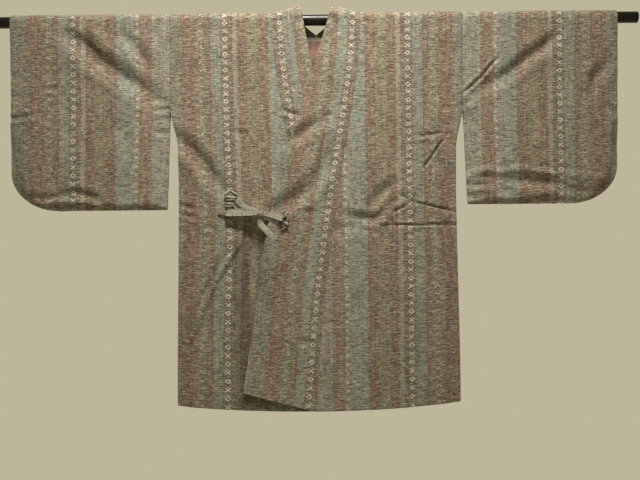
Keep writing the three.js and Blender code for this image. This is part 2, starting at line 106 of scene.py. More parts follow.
def look_up(places: Column, values: Column, at: np.ndarray) -> np.ndarray:
    """Reads a smooth curve through a table.

    Args:
        places: the rising column that the table is read by.
        values: the column that is read.
        at: where it is read.

    Returns:
        The values there, held level past both ends.
    """
    places, values, at = (np.asarray(a, float) for a in (places, values, at))
    last = len(places) - 1
    i = np.clip(np.searchsorted(places, at, side="left"), 1, last)
    before, after = np.maximum(i - 2, 0), np.minimum(i + 1, last)
    span = places[i] - places[i - 1]
    t = np.clip((at - places[i - 1]) / span, 0, 1)
    start = (values[i] - values[before]) / (places[i] - places[before]) * span
    end = (values[after] - values[i - 1]) / (places[after] - places[i - 1]) * span
    t2, t3 = t * t, t * t * t
    return (
        (2 * t3 - 3 * t2 + 1) * values[i - 1]
        + (t3 - 2 * t2 + t) * start
        + (3 * t2 - 2 * t3) * values[i]
        + (t3 - t2) * end
    )


def soft_noise(x: np.ndarray, z: np.ndarray, cell: float, seed: int) -> np.ndarray:
    """Seeded noise that changes smoothly from cell to cell.

    Args:
        x: places across.
        z: places down.
        cell: how wide a cell is, in the unit of x and z.
        seed: which noise.

    Returns:
        A value from -1 to 1 at each place.
    """
    size = 64
    lattice = np.random.default_rng(seed).uniform(-1, 1, (size, size))
    gx, gz = np.asarray(x) / cell, np.asarray(z) / cell
    i, j = np.floor(gx).astype(int), np.floor(gz).astype(int)
    tx, tz = smooth(0, 1, gx - i), smooth(0, 1, gz - j)
    low, high = (mix(lattice[i % size, k % size], lattice[(i + 1) % size, k % size], tx) for k in (j, j + 1))
    return mix(low, high, tz)


def graded(length: float, step: float) -> np.ndarray:
    """Spaces points over a length, closer together at both ends, where seams and edges are.

    Args:
        length: the whole length.
        step: about how far apart the points in the middle are.

    Returns:
        Each point's share of the length, from 0 to 1.
    """
    fine = np.array([0, 0.8, 1.7, 2.8, 4.2, 6.2, 9.0, 12.5])
    middle = np.linspace(fine[-1], length - fine[-1], max(2, round((length - 2 * fine[-1]) / step)) + 1)
    return np.concatenate([fine[:-1], middle, (length - fine[:-1])[::-1]]) / length


# ---------------------------------------------------------------- folds


@dataclass(frozen=True)
class Fold:
    """A trough laid into the cloth, or a ridge where its depth is negative.

    points holds (x, z, depth) rows along the fold, spread is its half width, sharp is 2 for a soft one and
    less for a crease, and lip is the share of its depth that stands up beside it, around lip_at spreads away.
    """

    points: tuple
    spread: float
    sharp: float = 2.0
    lip: float = 0.25
    lip_at: float = 2.1
    lip_width: float = 0.8

    def depth(self, x: np.ndarray, z: np.ndarray) -> np.ndarray:
        """Measures the fold by the nearest point of its line.

        Args:
            x: places across.
            z: heights.

        Returns:
            How deep it is at each point, less than 0 where its lips stand up.
        """
        nearest = np.full(np.shape(x), 1e9)
        deep = np.zeros(np.shape(x))
        for (ax, az, ad), (bx, bz, bd) in zip(self.points, self.points[1:]):
            dx, dz = bx - ax, bz - az
            t = np.clip(((x - ax) * dx + (z - az) * dz) / (dx * dx + dz * dz), 0, 1)
            away = np.hypot(x - ax - t * dx, z - az - t * dz)
            closer = away < nearest
            nearest = np.where(closer, away, nearest)
            deep = np.where(closer, mix(ad, bd, t), deep)
        across = nearest / self.spread
        trough = np.exp(-(across**self.sharp))
        return deep * (trough - self.lip * bell((across - self.lip_at) / self.lip_width))


def read_folds(table: str) -> tuple:
    """Reads folds from a table, in which a line that starts with # is a note.

    Args:
        table: a line for each fold, which may go on in lines that are set in. Before its colon are its spread
            and, where they aren't a soft fold's, its sharp and its lip. After it are its points, as x z depth.

    Returns:
        The folds in order.
    """
    lines = [line for line in table.splitlines() if line and not line.startswith("#")]
    folds = []
    for line in "\n".join(lines).replace("\n  ", " ").splitlines():
        shape, way = line.split(":")
        points = tuple(tuple(float(word) for word in point.split()) for point in way.split(","))
        folds.append(Fold(points, *(float(word) for word in shape.split())))
    return tuple(folds)


FRONT_FOLDS = read_folds("""
# right sleeve
17: -572 -12 1, -537 -28 5, -511 -52 8.5, -491 -79 10, -463 -99 10, -432 -121 10, -395 -144 8.5, -358 -168 5,
    -331 -182 2
20: -559 -14 0, -511 -59 3.5, -485 -90 2.1, -463 -117 0
3.4 1.3 0.5: -519 -39 0, -497 -52 4.1, -482 -66 4.1, -467 -83 0
11: -435 -7 0, -422 -33 4.3, -401 -55 5.4, -383 -82 5.4, -368 -113 1.6
8: -371 1 0, -354 -25 4.6, -346 -63 0
5 1.4 0.7: -673 -213 3.4, -640 -208 3.4, -607 -204 0
5 1.4 0.6: -606 -149 0, -586 -148 2.4, -560 -148 0
6: -672 -121 2, -645 -126 0
6: -672 -166 1.8, -641 -169 0
4.5 1.4 0.6: -369 -199 0, -345 -197 3.6, -328 -195 3.6
5 1.5 0.6: -365 -246 0, -345 -245 3, -329 -245 2.1
5: -371 -172 0, -349 -174 2.4, -334 -177 1
12: -445 -306 0, -456 -332 3.7, -467 -354 4.6, -485 -385 2.8
4: -447 -353 0, -432 -352 -2.4, -417 -353 0
8: -646 -379 2.5, -610 -384 5, -575 -380 3.1, -533 -371 6.2, -505 -378 6.2, -481 -387 3.1
4.5: -615 -397 0, -584 -392 -3.6, -544 -391 -3.6, -505 -394 -2.2, -474 -402 0
10: -565 -212 0, -543 -250 3.2, -552 -296 0
14: -415 -196 0, -433 -236 3.5, -425 -284 0
# left sleeve
12: 533 -24 0.8, 521 -46 5.7, 504 -63 8.1, 476 -82 8.1, 448 -103 8.1, 426 -122 8.1, 406 -132 6.5,
    382 -147 4.9, 351 -168 2.4
3 1.2 0.6: 407 -82 0, 387 -101 4.3, 364 -128 4.8, 340 -150 4.8, 324 -164 2.9
12: 642 -100 2.7, 623 -122 6.1, 611 -139 6.8, 603 -164 5.4, 607 -192 0
6 1.5 0.5: 318 -194 1.6, 333 -185 2.6, 348 -182 0
9: 630 -195 0, 648 -204 3, 661 -208 2.1
6: 325 -353 -2.3, 349 -341 -3.8, 371 -335 -3.8, 404 -340 -2.3, 442 -332 -3.8, 473 -336 -3.8, 501 -343 -3.8,
    538 -345 -3, 565 -348 -3, 629 -355 -2.3, 646 -369 0
5 1.6: 325 -366 4, 349 -367 4, 371 -367 2.8, 386 -372 0.8
7: 397 -371 0, 417 -382 4.2, 435 -384 0
10: 371 -353 2.7, 402 -358 2.7, 450 -360 6.1, 481 -363 6.8, 510 -364 6.8, 529 -374 4, 569 -383 4.7,
    604 -384 3.4, 631 -377 4, 644 -369 2
5: 325 -380 -2.6, 353 -378 -3.2, 391 -381 0
5: 325 -393 2.6, 358 -396 1.9, 393 -399 0
14: 470 -182 0, 482 -226 3.2, 469 -275 0
# right front
14: -319 -250 3.9, -303 -263 7.8, -286 -279 9.7, -264 -303 9.7, -247 -325 9.7, -229 -347 9.7, -212 -372 5.8
3.5 1.4: -303 -193 2.4, -283 -194 0
3.5 1.4: -314 -219 1.9, -277 -219 0
5 1.5 0.5: -305 -408 3.5, -281 -414 4.4, -261 -422 0
5 1.5 0.5: -303 -426 2.4, -281 -432 4, -263 -429 0
6: -303 -466 1.4, -277 -468 0
5: -252 -462 0, -241 -456 2.6, -224 -463 0
4.4 1.5: -167 -465 -4.2, -171 -491 -6.3, -191 -521 -7, -205 -543 -7, -225 -579 -7, -243 -616 -7, -256 -649 -7,
    -266 -682 -5.6, -281 -707 -4.2, -295 -730 0
6 2 0.1: -185 -484 0, -205 -519 2.7, -220 -543 3.4, -238 -578 3.4, -256 -616 3.4, -272 -655 2.7, -290 -690 0
20: -175 -445 7.7, -160 -458 11, -149 -489 11, -145 -533 10.4, -146 -599 8.8, -151 -687 3.8, -156 -760 0
14: -131 -450 4, -134 -507 6.8, -141 -573 4, -146 -639 0
6 1.6 0.4: -180 -249 0, -165 -250 3.2, -145 -255 0
3.5 1.4: -174 -93 0, -173 -110 3.1, -172 -132 0
22: -226 -176 0, -239 -215 3.2, -235 -264 0
16: -287 -615 0, -292 -703 2.7, -280 -791 0
14: -200 -682 0, -189 -759 3, -197 -836 0
# the right half of the collar, where it shows above the lap
5.5 1.6 0.5: -81 -195 0, -63 -203 3.6, -41 -213 2.2
6: -65 -149 0, -52 -147 2, -38 -149 0
# the left half of the collar
11 2 0.4: -62 -270 2, -44 -259 5.7, -26 -247 6.8, -8 -234 6.1, 11 -224 2.4, 31 -216 0.7
4.5 1.4 0.5: 7 -210 0, 23 -212 3.1, 40 -216 0
14 2 0.35: -100 -426 3.6, -76 -410 5.8, -38 -389 7.3, -18 -370 7.3, -1 -343 6.6, 13 -325 5.8, 24 -299 4.4,
    37 -279 1.5
6: -39 -428 0, -21 -423 3.4, -1 -427 0
7: -39 -710 2.4, -24 -712 3.4, -8 -717 0
5 1.5: -1 -671 0, 25 -670 2.6, 58 -674 0
16: -88 -551 0, -102 -639 3.2, -108 -727 0
# left front
8.5: 124 -450 1.6, 144 -423 4.1, 162 -406 3.2, 186 -382 0
3.5 1.4: 267 -199 0, 285 -199 2.9, 300 -198 1.4
4 1.4 0.4: 205 -257 0, 233 -260 3.4, 264 -255 3.4, 295 -255 1.3
2.8 1.2 0.6: 288 -256 1.3, 266 -283 4.2, 252 -305 4.2, 237 -325 3.8, 229 -336 0
8: 224 -270 0, 233 -278 3.8, 244 -288 0
5: 290 -132 0, 301 -131 2.4, 314 -132 0
11: 109 -434 2.8, 126 -401 5.7, 149 -377 5.7, 173 -362 3.4, 195 -349 0
3.2 1.4 0.5: 168 -380 0, 182 -389 3.4, 195 -396 3, 208 -399 0
3 1.3 0.6: 157 -430 0, 172 -423 4.1, 186 -417 4.1, 199 -412 0
2.8 1.5 0.5: 203 -404 0, 225 -408 3.8, 254 -415 4.8, 276 -421 4.8, 307 -429 4.3
9: 260 -431 0, 285 -439 -3.4, 309 -443 -2.7
2.6 1.4 0.45: 106 -450 1.6, 137 -454 2, 166 -456 3.3, 190 -455 3.7, 218 -457 4.1, 254 -456 4.1, 282 -456 4.1,
    309 -458 3.7
8.5 1.8 0.35: 49 -429 1.7, 76 -433 4.5, 100 -437 5.7, 120 -442 5.7, 137 -434 2.8
3.2: 131 -443 0.6, 144 -463 2.9, 152 -483 0
3.2: 135 -423 0, 155 -441 2.6, 177 -461 0
4: 126 -459 0, 144 -447 -1.4, 164 -432 0
5: 152 -476 0, 161 -490 2.8, 172 -501 0
13: 27 -469 0, 67 -456 4.7, 93 -452 5.4, 128 -470 0
18: 178 -347 0, 191 -290 3.2, 183 -224 0
20: 250 -620 0, 240 -708 3, 253 -807 0
16: 75 -548 0, 82 -641 3, 73 -751 0
16: 141 -536 0, 149 -619 2.7, 141 -718 0
""")
# Creases that start on top of the rail, by x and by the way down from its front, which is above 0 over it.
# The cloth can't sink into the rail, so they stand up in lips more than they go in.
SHOULDER_FOLDS = read_folds("""
4 1.4 0.8: -129 16 0, -128 9 0.9, -126 -7 1.1, -122 -29 1.8, -117 -55 2.2, -104 -76 0.8
3.5 1.4 0.9: -117 8 0, -112 0 0.7, -107 -5 0
4 1.4 1: 97 -14 0, 105 -9 1.3, 112 -6 1.3, 121 3 1, 130 14 0
7 1.8 0.2: 34 4 1.5, 44 -9 3.4, 48 -24 3.6, 38 -36 2.6, 20 -50 0
7 1.8 0.2: -44 4 0, -38 -6 2.6, -36 -16 0
6 1.6 0.9: -352 14 0, -347 -4 0.9, -350 -26 0
6 1.6 0.9: -470 18 0, -462 4 0.8, -455 -12 0
6 1.6 0.9: 282 16 0, 288 2 0.9, 284 -18 0
5 1.6 0.9: 352 16 0, 346 -2 0.8, 336 -16 0
6 1.6 0.9: -210 18 0, -205 6 0.7, -208 -8 0
7 1.6 0.9: -60 30 0, -180 34 0.8, -260 30 0
7 1.6 0.9: 150 34 0, 250 30 0.8, 300 34 0
""")
# The two of them that run into the collar at the front of the neck.
NECK_FOLDS = SHOULDER_FOLDS[3:5]
# The back hangs from the same shoulders, so it has folds of the same kind in other places.
BACK_FOLDS = read_folds("""
16: -600 -5 0, -540 -45 6, -455 -108 8.2, -340 -178 1.5
16: 585 -8 0, 530 -52 6, 440 -112 7.5, 335 -180 2.2
6 1.4 0.5: -480 -60 0, -430 -100 3.3, -380 -150 0
15: -330 -345 -3, -420 -333 -5.2, -520 -338 -5.2, -620 -352 0
15: 335 -350 -3, 430 -336 -4.8, 540 -342 -4.5, 630 -356 0
15: -316 -236 3.8, -265 -300 6.8, -190 -390 4.5, -130 -470 0
15: 316 -246 3.8, 258 -320 6.8, 200 -395 4.5, 150 -450 0
13: -306 -420 3.8, -230 -455 4.5, -120 -452 0
13: 306 -448 3.8, 215 -470 4.5, 110 -455 0
20: -12 -95 3, -40 -180 3, -30 -300 0
20: 14 -95 2.4, 55 -170 2.7, 70 -280 0
28: -210 -540 0, -190 -660 3, -215 -800 0
28: 185 -540 0, 210 -680 3, 195 -820 0
24: -70 -500 0, -60 -640 2.1, -85 -790 0
24: -460 -190 0, -500 -260 2.7, -480 -330 0
24: 470 -200 0, 510 -260 2.7, 490 -320 0
""")


# ---------------------------------------------------------------- the coat's form


@dataclass(frozen=True)
class CoatForm:
    """The sizes that the coat's pieces share, and the surface that its fronts and back hang in.

    unevenness holds the height and the cell of the cloth's two waves of slight unevenness. rail_holds,
    side_sewn_from, corner_z and corner_x are each the ends of a soft step, and seam_moves is the least and the
    most that a crease moves a seam.
    """

    wall: float = 2.0
    seam: float = 0.3
    cloth: float = 1.5
    rod_radius: float = 12.5
    rod_length: float = 1420.0
    fold_steps: int = 6
    hanging: float = 9.0
    gap_settles_z: float = -150.0
    armhole_x: float = 322.0
    armhole_end_z: float = -190.0
    side_narrows: float = 100.0
    side_seam_top_z: float = -330.0
    side_x: float = 306.0
    side_hem_x: float = 312.5
    hem_z: float = -863.0
    hem_rise: float = 16.0
    hem_tilt: float = 2.0
    lap: float = 4.5
    hem_lift: float = 6.0
    seam_follows: float = 0.55
    lap_starts_z: float = -50.0
    lap_full_z: float = -105.0
    lap_full_x: float = 180.0
    lap_ends_x: float = 240.0
    neck_half_width: float = 98.0
    neck_depth: float = 75.0
    front_seed: int = 11
    back_seed: int = 23
    unevenness: tuple = ((0.9, 62.0), (0.4, 21.0))
    rail_holds: tuple = (-8.0, -38.0)
    seam_moves: tuple = (-3.0, 6.0)
    side_sewn_from: tuple = (-280.0, -360.0)
    side_reach: float = 45.0
    corner_z: tuple = (-740.0, -850.0)
    corner_x: tuple = (20.0, -90.0)

    @property
    def over_rod(self) -> float:
        """The radius of the wall's middle where it bends over the rail."""
        return (self.rod_radius + self.seam) / math.cos(math.pi / self.fold_steps / 2) + self.wall / 2

    @property
    def sewn(self) -> float:
        """Half the space between wall middles where front and back are sewn together."""
        return (self.wall + self.seam) / 2

    def free_gap(self, z: np.ndarray) -> np.ndarray:
        """Half the space between front and back away from seams."""
        return mix(self.over_rod, self.hanging, smooth(0, self.gap_settles_z, z))

    def side_edge(self, z: np.ndarray) -> np.ndarray:
        """Finds the body's side, at the armhole, at the open slit and down the side seam.

        Args:
            z: heights.

        Returns:
            How far out from the centre the side is at each height.
        """
        top = self.armhole_x - self.seam / 2
        slit = mix(top, self.side_x, smooth(self.armhole_end_z, self.armhole_end_z - self.side_narrows, z))
        return mix(slit, self.side_hem_x, smooth(self.side_seam_top_z, self.hem_z, z))

    def hemmed(self, x: np.ndarray, z: np.ndarray) -> np.ndarray:
        """The height of a row where the hem's rise towards the sides and its slight tilt lift it."""
        out = x / self.side_hem_x
        return z + (self.hem_rise * out**2 + self.hem_tilt * out) * np.clip(z / self.hem_z, 0, 1) ** 3

    def side_sewn(self, x: np.ndarray, z: np.ndarray) -> np.ndarray:
        """How near a point is to the sewn part of the body's side, from 0 to 1."""
        level = smooth(*self.side_sewn_from, z)
        return level * smooth(self.side_reach, 0, self.side_edge(z) - np.abs(x))

    def lap_lift(self, side: Side, x: np.ndarray, z: np.ndarray) -> np.ndarray:
        """Lifts the left front over the right one, most at its corner on the hem.

        Args:
            side: which front.
            x: places across.
            z: heights.

        Returns:
            How far the front stands forward at each point.
        """
        if side is Side.RIGHT:
            return np.zeros(np.shape(x))
        down = smooth(self.lap_starts_z, self.lap_full_z, z)
        off_hem = self.hem_lift * smooth(*self.corner_z, z) * smooth(*self.corner_x, x)
        return self.lap * down * smooth(self.lap_ends_x, self.lap_full_x, x) + off_hem

    def hang(self, face: Face, x: np.ndarray, z: np.ndarray, sewn: np.ndarray, lift: np.ndarray) -> np.ndarray:
        """The wall's middle, as Y.

        Args:
            face: front or back.
            x: places across.
            z: heights.
            sewn: how near each point is to a seam that joins front to back, from 0 to 1.
            lift: how far each point stands off the plain hanging surface.

        Returns:
            Y of the wall's middle at each point.
        """
        back = np.maximum(self.sewn + 1.5, self.free_gap(z) - self.folded(BACK_FOLDS, self.back_seed, x, z))
        creased = self.folded(FRONT_FOLDS, self.front_seed, x, z)
        # A seam can't open, so a crease that runs into it pushes both walls back together.
        pushed = self.seam_follows * sewn * np.clip(creased, *self.seam_moves)
        if face is Face.BACK:
            return mix(back, self.sewn, sewn) + pushed
        free = np.maximum(self.wall + 2 - back, self.free_gap(z) - creased)
        return -mix(free, self.sewn, sewn) - lift + pushed

    def folded(self, folds: tuple, seed: int, x: np.ndarray, z: np.ndarray) -> np.ndarray:
        """Sums folds and the cloth's slight unevenness, which fade out on the rail.

        Args:
            folds: the folds.
            seed: the first of the unevenness.
            x: places across.
            z: heights.

        Returns:
            How deep they are together at each point.
        """
        depth = sum(fold.depth(x, z) for fold in folds)
        for i, (height, cell) in enumerate(self.unevenness):
            depth = depth + height * soft_noise(x, z, cell, seed + i)
        return depth * smooth(*self.rail_holds, z)

    def body_y(self, face: Face, side: Side, x: np.ndarray, z: np.ndarray) -> np.ndarray:
        """The middle of a body panel's wall, as Y."""
        lift = self.lap_lift(side, x, z) if face is Face.FRONT else 0 * x
        return self.hang(face, x, z, self.side_sewn(x, z), lift)

    def tie_ground(self, x: np.ndarray, z: np.ndarray) -> np.ndarray:
        """The right front's outer face, as Y, which the tie's pieces are set off from."""
        x, z = np.asarray(x, float), np.asarray(z, float)
        return self.body_y(Face.FRONT, Side.RIGHT, x, z) - self.wall / 2


FORM = CoatForm()


# ---------------------------------------------------------------- colours and finishes

BOLT_MAP = {"uv_map": "bolt"}
OF_COLOURS = {"data_type": "RGBA"}
FLAT_NOISE = {"noise_dimensions": "2D"}
# A Mix node's inputs for numbers and vectors stand between its share and its colours.
BEFORE_COLOURS = [None] * 5


def linear(code: str) -> tuple:
    """The linear colour of an sRGB hex value, with alpha."""
    parts = [int(code[i : i + 2], 16) / 255 for i in (1, 3, 5)]
    return tuple(c / 12.92 if c <= 0.04045 else ((c + 0.055) / 1.055) ** 2.4 for c in parts) + (1.0,)


def node(
    tree: bpy.types.NodeTree, kind: str, settings: dict | str, *inputs: Input, out: str | int = 0, **named: Input
) -> Socket | None:
    """Adds one node with its settings and links.

    Args:
        tree: the material's node tree.
        kind: the node's type, less the ShaderNode that each starts with.
        settings: its properties, or its operation alone.
        inputs: numbers, colours or sockets for its inputs in order, None to leave one.
        out: the name or number of the output that is wanted.
        named: the same as inputs by input name, with _ for a space.

    Returns:
        The wanted output socket, or None from a node that has none.
    """
    made = tree.nodes.new("ShaderNode" + kind)
    for key, value in ({"operation": settings} if isinstance(settings, str) else settings).items():
        setattr(made, key, value)
    wanted = [(i, value) for i, value in enumerate(inputs) if value is not None]
    for key, value in wanted + [(key.replace("_", " "), value) for key, value in named.items()]:
        socket = made.inputs[key]
        if isinstance(value, Socket):
            tree.links.new(value, socket)
        else:
            socket.default_value = value
    return made.outputs[out] if made.outputs else None


def set_stops(socket: Socket, stops: tuple, kind: str = "LINEAR") -> Socket:
    """Gives the colour ramp behind a socket its stops.

    Args:
        socket: the ramp's colour output.
        stops: rows of a position from 0 to 1 and a hex colour.
        kind: how the ramp goes from stop to stop.

    Returns:
        The same socket.
    """
    ramp = socket.node.color_ramp
    ramp.interpolation = kind
    ramp.elements.remove(ramp.elements[-1])
    for i, (position, colour) in enumerate(stops):
        stop = ramp.elements.new(position) if i else ramp.elements[0]
        stop.position, stop.color = position, linear(colour)
    return socket


@dataclass(frozen=True)
class Finish:
    """What every finish has: a name, and a look that a principled shader takes."""

    name: str = ""

    def make(self) -> Material:
        """Makes the finish's material.

        Returns:
            The new material, its shader joined to the output.
        """
        material = bpy.data.materials.new(self.name)
        material.use_nodes = True
        material.node_tree.nodes.clear()
        add = partial(node, material.node_tree)
        add("OutputMaterial", {}, add("BsdfPrincipled", {}, **self.look(add)))
        return material

    def look(self, add: Callable) -> dict:
        """What the shader's inputs get, by name with _ for a space, from nodes that add makes."""
        raise NotImplementedError


class Figure(Enum):
    """The kasuri figures that a column repeats."""

    RINGS_AND_CROSSES = 1
    CHEVRONS = 2
    MARKS = 3


@dataclass(frozen=True)
class MotifColumn:
    """A lengthwise column of small kasuri figures woven with tied-and-dyed yarn."""

    middle: float
    half_width: float
    half_height: float
    pitch: float
    figure: Figure
    strength: float


@dataclass(frozen=True)
class Tsumugi(Finish):
    """Hand-spun striped silk: matt, with dark and light slubs along the weft and kasuri figures.

    stripes holds each stripe's distance from the selvage in millimetres and its colour. lap_shade_depth is how
    much darker the cloth is painted beside the lap's edge on the right front, as painted shade. The cells are how
    many of a noise's cells lie across and along a millimetre.
    """

    name: str = "striped_tsumugi"
    width: float = 349.0
    unevenness: float = 1.0
    stripes: tuple = (
        (0, "#88877e"), (38, "#7f6857"), (65, "#8a877d"), (78, "#7f8982"), (116, "#745b4e"),
        (140, "#777057"), (165, "#73594c"), (185, "#8e897d"), (196, "#6b5c4f"), (204, "#666155"),
        (221, "#7c837a"), (243, "#715c4c"), (256, "#73705d"), (277, "#765c4d"), (311, "#717268"),
    )
    columns: tuple = (
        MotifColumn(212.5, 5.8, 4.8, 18.1, Figure.RINGS_AND_CROSSES, 1.0),
        MotifColumn(71.5, 3.6, 3.0, 18.1, Figure.MARKS, 0.6),
        MotifColumn(266.5, 4.2, 4.2, 18.1, Figure.CHEVRONS, 0.75),
    )
    thread: str = "#cfc7b6"
    dark_slub: str = "#3a332b"
    light_slub: str = "#aba797"
    warm_slub: str = "#7c5147"
    # How much darker the painted shade beside the lap makes the cloth.
    lap_shade_depth: float = 0.40
    wander: float = 3.4
    wander_cells: tuple = (0.12, 0.45, 1)
    wear_cells: float = 0.35
    rib_cells: tuple = (0.16, 0.95, 1)
    warp_cells: tuple = (1.1, 0.06, 1)
    warp_share: float = 0.45
    rib_height: float = 0.0006

    def look(self, add: Callable) -> dict:
        """Draws the cloth on the piece's bolt map, whose unit is a metre of cloth.

        Args:
            add: adds one node.

        Returns:
            The shader's inputs.
        """
        place = add("VectorMath", "SCALE", add("UVMap", BOLT_MAP), Scale=1 / MM)
        u, v = (add("SeparateXYZ", {}, place, out=axis) for axis in "XY")
        # Hand-dyed yarn wanders by about a millimetre, so no edge or figure is quite straight.
        wander = add("VectorMath", "MULTIPLY", place, self.wander_cells)
        wander = add("TexNoise", FLAT_NOISE, wander, Scale=1.0, Detail=2.0)
        aside = add("Math", "MULTIPLY_ADD", wander, self.wander, -self.wander / 2)
        u = add("Math", "ADD", add("Math", "ADD", u, aside), self.width)
        across = add("Math", "MODULO", u, self.width)
        stripe = add("ValToRGB", {}, add("Math", "DIVIDE", across, self.width))
        colour = set_stops(stripe, tuple((start / self.width, code) for start, code in self.stripes), "CONSTANT")
        colour = self.slubs(add, place, colour)
        for column in self.columns:
            worn = add("TexNoise", FLAT_NOISE, place, Scale=self.wear_cells, Detail=2.0)
            worn = add("MapRange", {}, worn, 0.34, 0.64, 0.15 * column.strength, 0.88 * column.strength)
            shown = add("Math", "MULTIPLY", self.figures(add, across, v, column), worn)
            colour = add("Mix", OF_COLOURS, shown, *BEFORE_COLOURS, colour, linear(self.thread), out=2)
        # Painted shade: the right front below the tie, beside the lap's edge, is darkened where the lap would
        # shade it.
        covered = add("Attribute", {"attribute_name": "covered"}, out="Fac")
        colour = add("VectorMath", "SCALE", colour, Scale=add("Math", "MULTIPLY_ADD", covered, -self.lap_shade_depth, 1.0))
        # Weft ribs about 1.5 mm apart, coarser than life to show, with the warp's streaks on them.
        ribs = add("VectorMath", "MULTIPLY", place, self.rib_cells)
        ribs = add("TexNoise", FLAT_NOISE, ribs, Scale=1.0, Detail=3.0)
        warp = add("VectorMath", "MULTIPLY", place, self.warp_cells)
        warp = add("TexNoise", FLAT_NOISE, warp, Scale=1.0, Detail=2.0)
        height = add("Math", "MULTIPLY_ADD", warp, self.warp_share, ribs)
        bump = add("Bump", {}, Strength=0.55, Distance=self.rib_height, Height=height)
        return dict(Base_Color=colour, Roughness=0.88, Sheen_Weight=0.12, Specular_IOR_Level=0.25, Normal=bump)

    def slubs(self, add: Callable, place: Socket, colour: Socket) -> Socket:
        """Lays uneven yarn over the stripes: short thick places in the weft, warp streaks and broad mottling.

        Args:
            add: adds one node.
            place: millimetres across and along the bolt.
            colour: the stripes.

        Returns:
            The colour with its slubs.
        """
        # Each kind's cells, the noise where it starts and where it is full, its strongest share, and its colour.
        for scale, low, high, most, tint in (
            ((0.016, 0.024), 0.42, 0.64, 0.26, self.dark_slub),
            ((0.42, 0.011), 0.48, 0.66, 0.30, self.dark_slub),
            ((0.38, 0.013), 0.52, 0.68, 0.28, self.light_slub),
            ((0.045, 0.34), 0.50, 0.63, 0.62, self.dark_slub),
            ((0.050, 0.36), 0.53, 0.67, 0.52, self.light_slub),
            ((0.110, 0.50), 0.50, 0.65, 0.54, self.dark_slub),
            ((0.120, 0.54), 0.53, 0.69, 0.50, self.light_slub),
            ((0.300, 0.70), 0.48, 0.68, 0.42, self.dark_slub),
            ((0.060, 0.20), 0.54, 0.66, 0.22, self.warm_slub),
        ):
            # Each starts elsewhere in the noise, so that none lies on another.
            moved = add("VectorMath", "ADD", place, (1310 * low, 570 * scale[0], 0))
            share = add("VectorMath", "MULTIPLY", moved, (*scale, 1))
            share = add("TexNoise", FLAT_NOISE, share, Scale=1.0, Detail=2.0)
            share = add("MapRange", {}, share, low, high, 0.0, most * self.unevenness)
            colour = add("Mix", OF_COLOURS, share, *BEFORE_COLOURS, colour, linear(tint), out=2)
        return colour

    def figures(self, add: Callable, across: Socket, v: Socket, column: MotifColumn) -> Socket:
        """Draws a column's figures: rings and crosses in turn, chevrons, or small marks.

        Args:
            add: adds one node.
            across: millimetres from the selvage.
            v: millimetres along the bolt.
            column: where the figures are, and which.

        Returns:
            One where there is a figure and 0 elsewhere.
        """
        du = add("Math", "ABSOLUTE", add("Math", "SUBTRACT", across, column.middle))
        cell = add("Math", "DIVIDE", v, column.pitch)
        dv = add("Math", "MULTIPLY_ADD", add("Math", "FRACT", cell), column.pitch, -column.pitch / 2)
        across_share = add("Math", "DIVIDE", du, column.half_width)
        along_share = add("Math", "DIVIDE", add("Math", "ABSOLUTE", dv), column.half_height)
        odd = add("Math", "MODULO", add("Math", "ABSOLUTE", add("Math", "FLOOR", cell)), 2.0)
        if column.figure is Figure.CHEVRONS:
            # They point up and down in turn.
            signed = add("Math", "MULTIPLY", dv, add("Math", "MULTIPLY_ADD", odd, -2.0, 1.0))
            arms = add("Math", "COMPARE", add("Math", "MULTIPLY_ADD", du, 1.25, signed), 2.2, 1.15)
            return add("Math", "MULTIPLY", arms, add("Math", "LESS_THAN", across_share, 1.0))
        reach = add("Math", "ADD", *(add("Math", "POWER", share, 1.35) for share in (across_share, along_share)))
        if column.figure is Figure.MARKS:
            return add("Math", "LESS_THAN", reach, 1.0)
        ring = add("Math", "COMPARE", reach, 0.80, 0.30)
        arms = add("Math", "COMPARE", across_share, along_share, 0.27)
        cross = add("Math", "MULTIPLY", arms, add("Math", "LESS_THAN", along_share, 0.92))
        return add("Math", "MULTIPLY_ADD", odd, add("Math", "SUBTRACT", cross, ring), ring)


TIE_CLOTH = Tsumugi(
    name="tie_tsumugi",
    unevenness=0.6,
    stripes=((0, "#9b998b"), (24, "#6b5549"), (48, "#463c34"), (72, "#a58e88"), (96, "#80776a")),
    columns=(),
)


@dataclass(frozen=True)
class Lining(Finish):
    """Plain-woven silk lining: smooth, a dusty red, with a slight sheen and faint lengthwise streaks.

    The cells are how many of a noise's cells lie across and along a metre.
    """

    name: str = "red_silk_lining"
    pale: str = "#653a2e"
    deep: str = "#41241b"
    streak_cells: tuple = (110, 60, 1)
    weave_cells: float = 900.0

    def look(self, add: Callable) -> dict:
        """Draws the lining on the piece's bolt map.

        Args:
            add: adds one node.

        Returns:
            The shader's inputs.
        """
        bolt = add("UVMap", BOLT_MAP)
        streaks = add("VectorMath", "MULTIPLY", bolt, self.streak_cells)
        streaks = add("TexNoise", FLAT_NOISE, streaks, Scale=1.0, Detail=3.0)
        colour = set_stops(add("ValToRGB", {}, streaks), ((0.3, self.deep), (0.7, self.pale)))
        # A weave about a millimetre wide, coarser than life.
        weave = add("TexNoise", FLAT_NOISE, bolt, Scale=self.weave_cells, Detail=1.0)
        bump = add("Bump", {}, Strength=0.25, Distance=0.0003, Height=weave)
        return dict(Base_Color=colour, Roughness=0.6, Sheen_Weight=0.05, Normal=bump)


